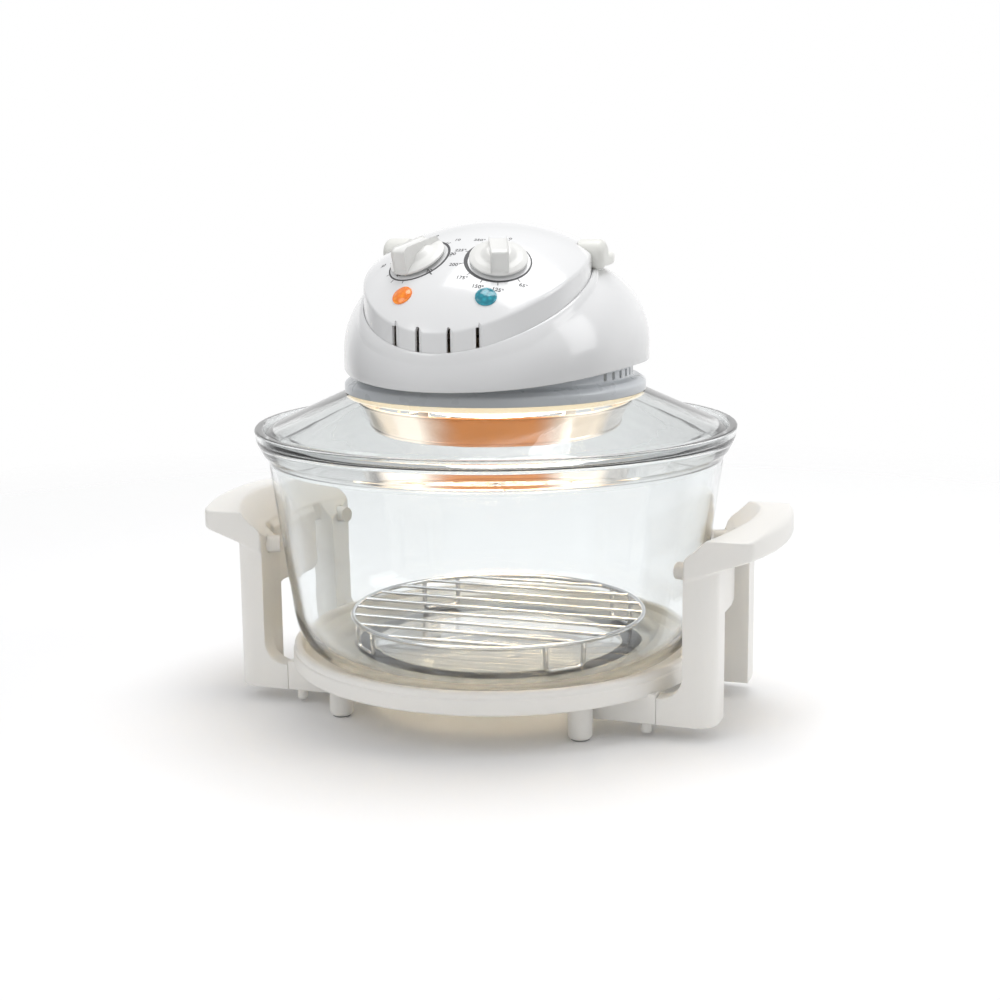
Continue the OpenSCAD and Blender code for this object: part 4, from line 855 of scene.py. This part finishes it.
def shell_sections(sides=300, steps=40):
    """The shell as a closed section that changes round the axis: a foot, an elliptic shoulder whose reach and
    height are blended from front to side, a round bead along the panel, and the skin inside."""
    a = np.linspace(-math.pi, math.pi, sides, endpoint=False)
    reach = shell_edge(a)
    front = np.where(np.cos(a) > 0, np.cos(a) ** 2, 0)
    low = HEAD_Z + 22 - 8 * front
    spring = HEAD_Z + 34 - 15 * front
    c = reach - SHOULDER_R
    hole = panel_edge(a, PANEL_GAP)
    bead = np.minimum(BEAD_W, (reach - hole) * 0.6)
    t_end = np.arccos((hole - c) / SHOULDER_R)
    t_bead = np.arccos((hole + bead - c) / SHOULDER_R)
    z_end = spring + SHOULDER_H * np.sin(t_end)
    z_bead = spring + SHOULDER_H * np.sin(t_bead)
    rows = [polar(a, reach - 1.2, low), polar(a, reach - 0.35, low + 0.3), polar(a, reach, low + 1.1)]
    for t in np.linspace(0, 1, steps):
        up = t * t_bead
        rows.append(polar(a, c + SHOULDER_R * np.cos(up), spring + SHOULDER_H * np.sin(up)))
    for t in np.linspace(0, 1, 10)[1:]:
        swell = BEAD_H * math.sin(math.pi * (0.08 + 0.84 * t)) ** 0.8
        rows.append(polar(a, hole + bead * (1 - t), z_bead + (z_end - z_bead) * t + swell))
    rows.append(polar(a, hole, z_end - SHELL_T))
    ri, hi = SHOULDER_R - SHELL_T, SHOULDER_H - SHELL_T
    t_in = np.arccos(np.minimum(1, (hole - c) / ri))
    for t in np.linspace(1, 0.1, 10):
        inner = np.minimum(c + ri * np.cos(t_in * t), hole + (reach - hole) * (1 - t) + 0.001)
        rows.append(polar(a, inner, spring + hi * np.sin(t_in * t) - 0.3))
    flange = RISER_TOP + 3
    flange_in = np.full(sides, RISER_R - 5.5)
    rows += [polar(a, reach - SHELL_T, flange + 1), polar(a, reach - SHELL_T - 1, flange),
             polar(a, flange_in, flange), polar(a, flange_in, RISER_TOP),
             polar(a, reach - SHELL_T, RISER_TOP), polar(a, reach - SHELL_T, low + 0.2)]
    return grid(np.stack(rows, axis=1), close_u=True, close_v=True)


def rod(radius, length, sides):
    """Round bar that stands on the origin."""
    return turned([(0, 0), (radius, 0), (radius, length), (0, length)], sides, closed=False)


def hub_cutters():
    """Round cutters for the pockets of the carry handle's hubs, open to the outside."""
    right = along_x(rod(HUB_POCKET_R, HUB_X1 - HUB_X0 + 20, 64), HUB_X0 - 0.5, 0, AXLE_Z)
    return [right, flipped(right, 0)]


shell = piece("white_head_shell", [shell_sections()], "lid", WHITE_SHELL, ["head_shell"])
cut(shell, hub_cutters() + [along_y(rod(CORD_HOLE_R, 30, 48), 0, SHELL_BACK - 14, CORD_Z)])


# ---------------------------------------------------------------- head: panel and controls


def panel_skin(sides=300, steps=34):
    """Dome cut to the panel's outline: from its middle out, over a round edge, down the wall, and back
    inside."""
    a = np.linspace(-math.pi, math.pi, sides, endpoint=False)
    edge = panel_edge(a, 0)
    f = PANEL_EDGE_R
    rows = []
    for t in np.linspace(0, 1, steps):
        r = (edge - f) * t
        tip = DOME_R * r / (DOME_R - f)
        rows.append(polar(a, tip, DOME_Z + np.sqrt(DOME_R ** 2 - tip ** 2)))
    start = np.arcsin((edge - f) / (DOME_R - f))
    centre_z = DOME_Z + np.sqrt((DOME_R - f) ** 2 - (edge - f) ** 2)
    for t in np.linspace(0, 1, 9)[1:]:
        turn = start + (math.pi / 2 - start) * t
        rows.append(polar(a, edge - f + f * np.sin(turn), centre_z + f * np.cos(turn)))
    low = DOME_Z - 11 + np.sqrt((DOME_R - 5) ** 2 - edge ** 2)
    rows += [polar(a, edge, low), polar(a, edge - SHELL_T, low)]
    inner = DOME_R - SHELL_T
    for t in np.linspace(1, 0, 12):
        r = (edge - SHELL_T) * t
        rows.append(polar(a, r, DOME_Z + np.sqrt(inner ** 2 - r ** 2)))
    return grid(np.stack(rows, axis=1), close_u=True)


def front_slots():
    """Cutters for the upright slots in the wall of the panel's front, and for a bevel right of each."""
    slots, bevels = [], []
    for a in SLOT_ANGLES:
        wall = -float(panel_edge(np.radians(np.array(a)), 0))
        side = SLOT_W / 2
        slot = block((-side, wall - 4, SLOT_LOW), (side, wall + 4.5, SLOT_HIGH), 0.7, 3)
        bevel = stacked([(side - 0.3, wall - 4), (side + BEVEL_W, wall - 4),
                         (side + BEVEL_W, wall - 1.6), (side - 0.3, wall + 2.0)],
                        [(0, SLOT_LOW), (0, SLOT_HIGH + 3)])
        slots.append(turned_by(slot, a))
        bevels.append(turned_by(bevel, a))
    return slots, bevels


panel = piece("white_control_panel", [panel_skin()], "lid", WHITE_SHELL,
              ["control_panel"], sharp=50)
slot_cutters, bevel_cutters = front_slots()
cut(panel, hub_cutters() + slot_cutters)
cut(panel, bevel_cutters)


def knob_parts():
    """Round skirt that rises to its middle, and a wedge across it: high in front, sloping to the back."""
    skirt = turned(rounded([
        (0, KNOB_FOOT_Z, 0), (KNOB_R, KNOB_FOOT_Z, 0.4), (KNOB_R, 2.2, 0.7), (KNOB_R - 3.4, 3.6, 2.4),
        (11.5, 4.6, 4.0), (8.0, 7.4, 2.5), (0, 7.6, 0)], 8, closed=False), 128, closed=False)
    end, foot = WEDGE_HALF_L, KNOB_FOOT_Z + 0.4
    side = rounded([(-end, foot, 1.0), (1.0 - end, 3.6, 1.7), (4.8 - end, KNOB_H - 0.6, 1.8),
                    (8.0 - end, KNOB_H - 0.4, 4.0), (end - 1, 5.4, 3.0), (end, foot, 1.5)], 8)
    edge = [(WEDGE_EDGE_R * (1 - math.sin(t)), WEDGE_HALF_W - WEDGE_EDGE_R * (1 - math.cos(t)))
            for t in np.linspace(0, math.pi / 2, 7)]
    wedge = stacked(side, [(inset, -w) for inset, w in edge] + [(inset, w) for inset, w in edge[::-1]])
    p = wedge[0]
    return [skirt, (np.stack([p[:, 2], p[:, 0], p[:, 1]], axis=-1), wedge[1])]


for name, spot in (("timer", TIMER_SPOT), ("thermostat", THERMOSTAT_SPOT)):
    piece(f"{name}_dial_knob", [spot.stand(part) for part in knob_parts()], f"{name}_dial",
          KNOB_WHITE, [f"{name}_knob"], sharp=42)


def lens_part():
    """Domed lens: a short wall under a low cap with a round edge."""
    ball = math.sqrt(LENS_CAP ** 2 + LENS_R ** 2)
    r = np.linspace(0, LENS_R - 0.5, 14)
    top = np.column_stack([r, 0.3 - LENS_CAP + np.sqrt(ball ** 2 - r ** 2)])
    wall = [(LENS_R - 0.1, 0.55), (LENS_R, 0.2), (LENS_R, -4), (0, -4)]
    return turned(np.concatenate([top, wall]), 72, closed=False)


for name, x, slot, finish in (("power", -LAMP_X, "lens_orange", ORANGE_LENS),
                              ("heat", LAMP_X, "lens_teal", TEAL_LENS)):
    piece(f"{name}_lamp_cap", [DomeSpot(x, LAMP_Y).stand(lens_part())], "lid", finish,
          [f"{name}_lamp_lens"], sharp=60)


# ---------------------------------------------------------------- printing on the panel

PRINT_LIFT = 0.06
PRINT_SINK = -0.1
RING_PRINT_R = 21.4
TICK_IN = RING_PRINT_R + 0.8
TICK_OUT = RING_PRINT_R + 3.4
NUMBER_R = RING_PRINT_R + 7.4
TIMER_START, TIMER_END = 15, 318
TIMER_NUMBERS = {"0": (-25.6, -40.2), "10": (-6.6, -52.4), "20": (-3.7, -69.2), "30": (-15.1, -83.0),
                 "40": (-37.5, -79.6), "50": (-56.7, -59.8), "60": (-63.8, -31.0)}
HEAT_START, HEAT_END = 322, 20
HEAT_NUMBERS = {"250": 318, "225": 283, "200": 250, "175": 220, "150": 192, "125": 165, "65": 130}


def printed(spot, flat):
    """Closed thin print over a grid of flat points, its top just above the dome and its underside below."""
    over, under = spot.lay(flat, PRINT_LIFT), spot.lay(flat, PRINT_SINK)
    return grid(np.concatenate([over, under[:, ::-1]], axis=1), close_v=True)


def clock(degrees, r):
    """Flat point at that many degrees clockwise from the back."""
    a = np.radians(degrees)
    return np.stack([r * np.sin(a), r * np.cos(a)], axis=-1)


def dial_arc(spot, start, end, r, width, steps=90):
    """Printed arc about a knob; width(t) gives its breadth from its start at 0 to its end at 1."""
    t = np.linspace(0, 1, steps)
    breadth = np.array([width(k) for k in t])
    angle = start + (end - start) * t
    rows = np.stack([clock(angle, r - breadth / 2), clock(angle, r + breadth / 2)], axis=1)
    points, quads = printed(spot, rows)
    ends = [[0, 1, 2, 3], [(steps - 1) * 4 + k for k in (3, 2, 1, 0)]]
    return points, np.concatenate([quads, ends])


def dial_tick(spot, angle, r0, r1, breadth=0.5):
    """Printed stroke along a dial's radius."""
    ray, across = clock(angle, 1.0), clock(angle + 90, breadth / 2)
    rows = np.stack([np.stack([ray * r - across, ray * r + across]) for r in (r0, r1)])
    points, quads = printed(spot, rows)
    return points, np.concatenate([quads, [[0, 1, 2, 3], [7, 6, 5, 4]]])


def dial_text(spot, words, at, height):
    """Words as a flat mesh laid on the dome with its middle at flat point (right, ahead)."""
    curve = bpy.data.curves.new("words", "FONT")
    curve.body = words
    curve.size = height * 1.4
    curve.align_x, curve.align_y = "CENTER", "CENTER"
    curve.resolution_u = 3
    curve.offset = 0.07
    curve.extrude = 0.1
    obj = bpy.data.objects.new("words", curve)
    bpy.context.collection.objects.link(obj)
    bpy.context.view_layer.update()
    mesh = bpy.data.meshes.new_from_object(obj.evaluated_get(bpy.context.evaluated_depsgraph_get()))
    bpy.data.objects.remove(obj)
    count = len(mesh.vertices)
    flat = np.empty(count * 3)
    mesh.vertices.foreach_get("co", flat)
    flat = flat.reshape(-1, 3)
    lift = np.where(flat[:, 2:] > 0, PRINT_LIFT, PRINT_SINK)
    placed = spot.lay(flat[:, :2] + np.array(at), lift)
    mesh.vertices.foreach_set("co", (placed * MM).ravel())
    mesh.update()
    return mesh


def flat_at(spot, x, y):
    """Flat coordinates on a spot of the place on the dome at plan (x, y)."""
    p = np.array([x, y, math.sqrt(DOME_R ** 2 - x * x - y * y)])
    p *= DOME_R / (p @ spot.normal)
    return p @ spot.right, p @ spot.ahead


def panel_print():
    """Both dials' rings, strokes and numbers, joined into one mesh."""
    first = [dial_arc(TIMER_SPOT, TIMER_START, TIMER_END, RING_PRINT_R,
                      lambda t: 1.9 - 0.8 * min(1, t * 1.6))]
    numbers = []
    for word, (x, y) in TIMER_NUMBERS.items():
        at = flat_at(TIMER_SPOT, x, y)
        angle = math.degrees(math.atan2(at[0], at[1]))
        first.append(dial_tick(TIMER_SPOT, angle, TICK_IN, TICK_OUT))
        numbers.append(dial_text(TIMER_SPOT, word, at, 3.1))
    for i in range(1, 12, 2):
        angle = TIMER_START + (TIMER_END - TIMER_START) * i / 12
        first.append(dial_tick(TIMER_SPOT, angle, TICK_IN, TICK_OUT - 0.8))
    first.append(dial_arc(THERMOSTAT_SPOT, HEAT_START, HEAT_END, RING_PRINT_R,
                          lambda t: 0.9 + 2.6 * (1 - t) ** 1.6, 140))
    for word, angle in HEAT_NUMBERS.items():
        first.append(dial_tick(THERMOSTAT_SPOT, angle, TICK_IN + 0.2, TICK_OUT))
        numbers.append(dial_text(THERMOSTAT_SPOT, word + "°", clock(angle, NUMBER_R), 3.0))
    first.append(dial_tick(THERMOSTAT_SPOT, 0, TICK_IN - 0.2, TICK_OUT + 1.2, 0.8))
    numbers.append(dial_text(THERMOSTAT_SPOT, "0", clock(0, NUMBER_R), 3.0))
    bm = bmesh.new()
    for mesh in [mesh_of("dial_print", first)] + numbers:
        bm.from_mesh(mesh)
        bpy.data.meshes.remove(mesh)
    joined = bpy.data.meshes.new("dial_print")
    bm.to_mesh(joined)
    bm.free()
    return joined


piece("dial_print", panel_print(), "lid", PRINT, sharp=30)


# ---------------------------------------------------------------- carry handle


def carry_handle_parts():
    """Round-cornered bar along two arms and a half ring, and two hubs with soft rims."""
    w, t = BAIL_W / 2, BAIL_T / 2
    section = rounded([(-w, -t, 2.6), (w, -t, 2.6), (w, t, 2.6), (-w, t, 2.6)], 6)
    a = np.linspace(0, math.pi, 72)
    ring = np.column_stack([BAIL_HALF_W * np.cos(a), BAIL_ARM + BAIL_HALF_W * np.sin(a)])
    arm = np.linspace(2.0, BAIL_ARM, 8)[:-1]
    right = np.column_stack([np.full(len(arm), BAIL_HALF_W), arm])
    left = np.column_stack([np.full(len(arm), -BAIL_HALF_W), arm[::-1]])
    path = np.concatenate([right, ring, left])
    path = np.column_stack([path, np.full(len(path), BAIL_MID_Z)])
    length = HUB_X1 - HUB_X0 + 0.06
    hub = turned(rounded([(0, 0, 0), (HUB_R, 0, 0.8), (HUB_R, length, 5.0), (0, length, 0)], 9,
                         closed=False), 80, closed=False)
    right_hub = along_x(hub, HUB_X0, 0, AXLE_Z)
    return [swept(path, section), right_hub, flipped(right_hub, 0)]


piece("carry_handle_moulding", carry_handle_parts(), "bail", HANDLE_WHITE,
      ["carry_handle"], sharp=45)


# ---------------------------------------------------------------- lamp guard


def guard_outline():
    """Thin steel wall with a rolled edge above and below."""
    wall = [(GUARD_BOTTOM_R, GUARD_BOTTOM), (GUARD_BOTTOM_R + GUARD_T, GUARD_BOTTOM),
            (GUARD_TOP_R + GUARD_T, GUARD_TOP), (GUARD_TOP_R, GUARD_TOP)]
    foot = circle(1.3, 15) + np.array([GUARD_BOTTOM_R + GUARD_T / 2, GUARD_BOTTOM])
    head = circle(1.5, 15) + np.array([GUARD_TOP_R + GUARD_T / 2, GUARD_TOP])
    return wall, foot, head


def guard_parts():
    """The guard's wall, its two rolled edges and the tabs up to the clamp ring."""
    parts = [turned(outline, 240) for outline in guard_outline()]
    tab = block((GUARD_TOP_R - 0.2, -4, GUARD_TOP - 2), (GUARD_TOP_R + 1, 4, CLAMP_Z), 0.4, 2)
    return parts + [turned_by(tab, 20 + i * 360 / GUARD_TABS) for i in range(GUARD_TABS)]


piece("steel_lamp_guard", guard_parts(), "lid", TUBE_LIT_GUARD, ["lamp_guard"], sharp=50)


# ---------------------------------------------------------------- CAD nodes that keep their shape

FINISHES = {
    IVORY: ["locking_pins", "bowl_pads"],
    SEAL_SILICONE: ["lid_gasket"],
    LIT_REFLECTOR: ["clamp_ring", "reflector_pan"],
    GUARD_STEEL: ["guard_grille"],
    BRIGHT_ALUMINIUM: ["heat_shield", "convection_fan"],
    ZINC: ["clamp_screws", "shell_screws", "control_nuts", "timer_shaft", "thermostat_shaft",
           "motor_bracket", "fan_shaft", "handle_axle", "switch_bracket", "timer_bell"],
    COPPER: ["thermostat_probe", "motor_coil"],
    PHENOLIC: ["thermostat_body", "safety_switch"],
    BRASS: ["timer_mechanism", "bearing_bush"],
    IRON: ["motor_stator", "motor_rotor"],
    INNER_PLASTIC: ["cooling_fan", "safety_cam", "terminal_block", "cord_gland"],
    INSULATION: ["safety_plunger", "wiring_harness"],
    CERAMIC: ["reflector_spacers", "tube_holders"],
    HOT_TUBE: ["halogen_tube"],
    BULB: ["indicator_bulbs"],
}
for finish, names in FINISHES.items():
    for name in names:
        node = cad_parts[name]
        node.data.materials.clear()
        node.data.materials.append(finish)


# ---------------------------------------------------------------- studio, in metres

FLOOR_HALF_W = 3.0
FLOOR_CLEAR_R = 0.45
LIGHT_AIM = (0, 0, 0.18)


def studio_floor():
    """Flat pale floor that fades into the white of the studio well past the oven."""
    h = FLOOR_HALF_W
    mesh = bpy.data.meshes.new("studio_floor")
    mesh.from_pydata([(-h, -h, 0), (h, -h, 0), (h, h, 0), (-h, h, 0)], [], [(0, 1, 2, 3)])
    floor = bpy.data.objects.new("studio_floor", mesh)
    bpy.context.collection.objects.link(floor)
    f = Finish("pale_floor", (0.95, 0.95, 0.95), 0.7)
    f.set("Base Color", f.blend(f.noise(3.0), (0.95, 0.95, 0.95), (0.94, 0.94, 0.945)))
    x, y, _ = f.parts_of(f.place())
    reach = (x * x + y * y).power(0.5)
    f.set("Alpha", 1.0 - ((reach - FLOOR_CLEAR_R) * 1.4).clamped())
    mesh.materials.append(f.material)


def soft_light(name, place, size, power):
    """Area light that looks at the middle of the oven."""
    data = bpy.data.lights.new(name, "AREA")
    data.shape = "RECTANGLE"
    data.size, data.size_y = size
    data.energy = power
    lamp = bpy.data.objects.new(name, data)
    bpy.context.collection.objects.link(lamp)
    lamp.location = place
    lamp.rotation_euler = (Vector(LIGHT_AIM) - Vector(place)).to_track_quat("-Z", "Y").to_euler()


def studio_world(front, side, back, high):
    """Even studio light: white behind the oven, dark at its sides, greyer in front of it, dimmer overhead.
    One ramp runs from front to back (y) and one from the horizon up (z)."""
    world = bpy.data.worlds.new("studio")
    world.use_nodes = True
    tree = world.node_tree
    place = tree.nodes.new("ShaderNodeTexCoord")
    parts = tree.nodes.new("ShaderNodeSeparateXYZ")
    depth = tree.nodes.new("ShaderNodeMapRange")
    depth.inputs["From Min"].default_value = -1.0
    mix = tree.nodes.new("ShaderNodeMix")
    mix.data_type = "RGBA"
    tree.links.new(place.outputs["Generated"], parts.inputs[0])
    tree.links.new(parts.outputs[1], depth.inputs[0])
    for source, stops, socket in (
            (depth.outputs[0], ((0.12, front), (0.36, side), (0.66, side), (0.82, back)), 6),
            (parts.outputs[2], ((0.14, 0.0), (0.42, 1.0)), 0)):
        ramp = tree.nodes.new("ShaderNodeValToRGB")
        for position, _ in stops[2:]:
            ramp.color_ramp.elements.new(position)
        for element, (position, level) in zip(ramp.color_ramp.elements, stops):
            element.position = position
            element.color = (level, level, level, 1)
        tree.links.new(source, ramp.inputs[0])
        tree.links.new(ramp.outputs[0], mix.inputs[socket])
    mix.inputs[7].default_value = (high, high, high * 1.01, 1)
    tree.links.new(mix.outputs[2], tree.nodes["Background"].inputs[0])
    bpy.context.scene.world = world


studio_floor()
studio_world(0.62, 0.10, 1.0, 0.56)
soft_light("key", (-1.0, -1.3, 1.5), (0.9, 0.9), 5)
soft_light("fill", (1.7, 0.3, 1.0), (0.7, 1.2), 6)
soft_light("top", (0.1, 0.3, 2.1), (1.4, 1.4), 24)

CAMERA_PLACE = (0.4002, -1.1302, 0.371)
CAMERA_LENS = 62.6
VIEW_AZIMUTH, VIEW_YAW, VIEW_PITCH, VIEW_ROLL = 19.5, 0.11, 10.9, -0.62


def photo_camera():
    """Camera at the photograph's place: heading, downward tilt and roll, in degrees."""
    data = bpy.data.cameras.new("camera")
    data.sensor_width = 36
    data.lens = CAMERA_LENS
    camera = bpy.data.objects.new("camera", data)
    bpy.context.collection.objects.link(camera)
    heading = math.radians(VIEW_AZIMUTH - VIEW_YAW)
    turn = (Matrix.Rotation(heading, 3, "Z") @ Matrix.Rotation(math.radians(90 - VIEW_PITCH), 3, "X")
            @ Matrix.Rotation(math.radians(VIEW_ROLL), 3, "Z"))
    camera.rotation_euler = turn.to_euler()
    camera.location = CAMERA_PLACE
    bpy.context.scene.camera = camera


photo_camera()
bpy.context.scene.view_settings.view_transform = "Standard"
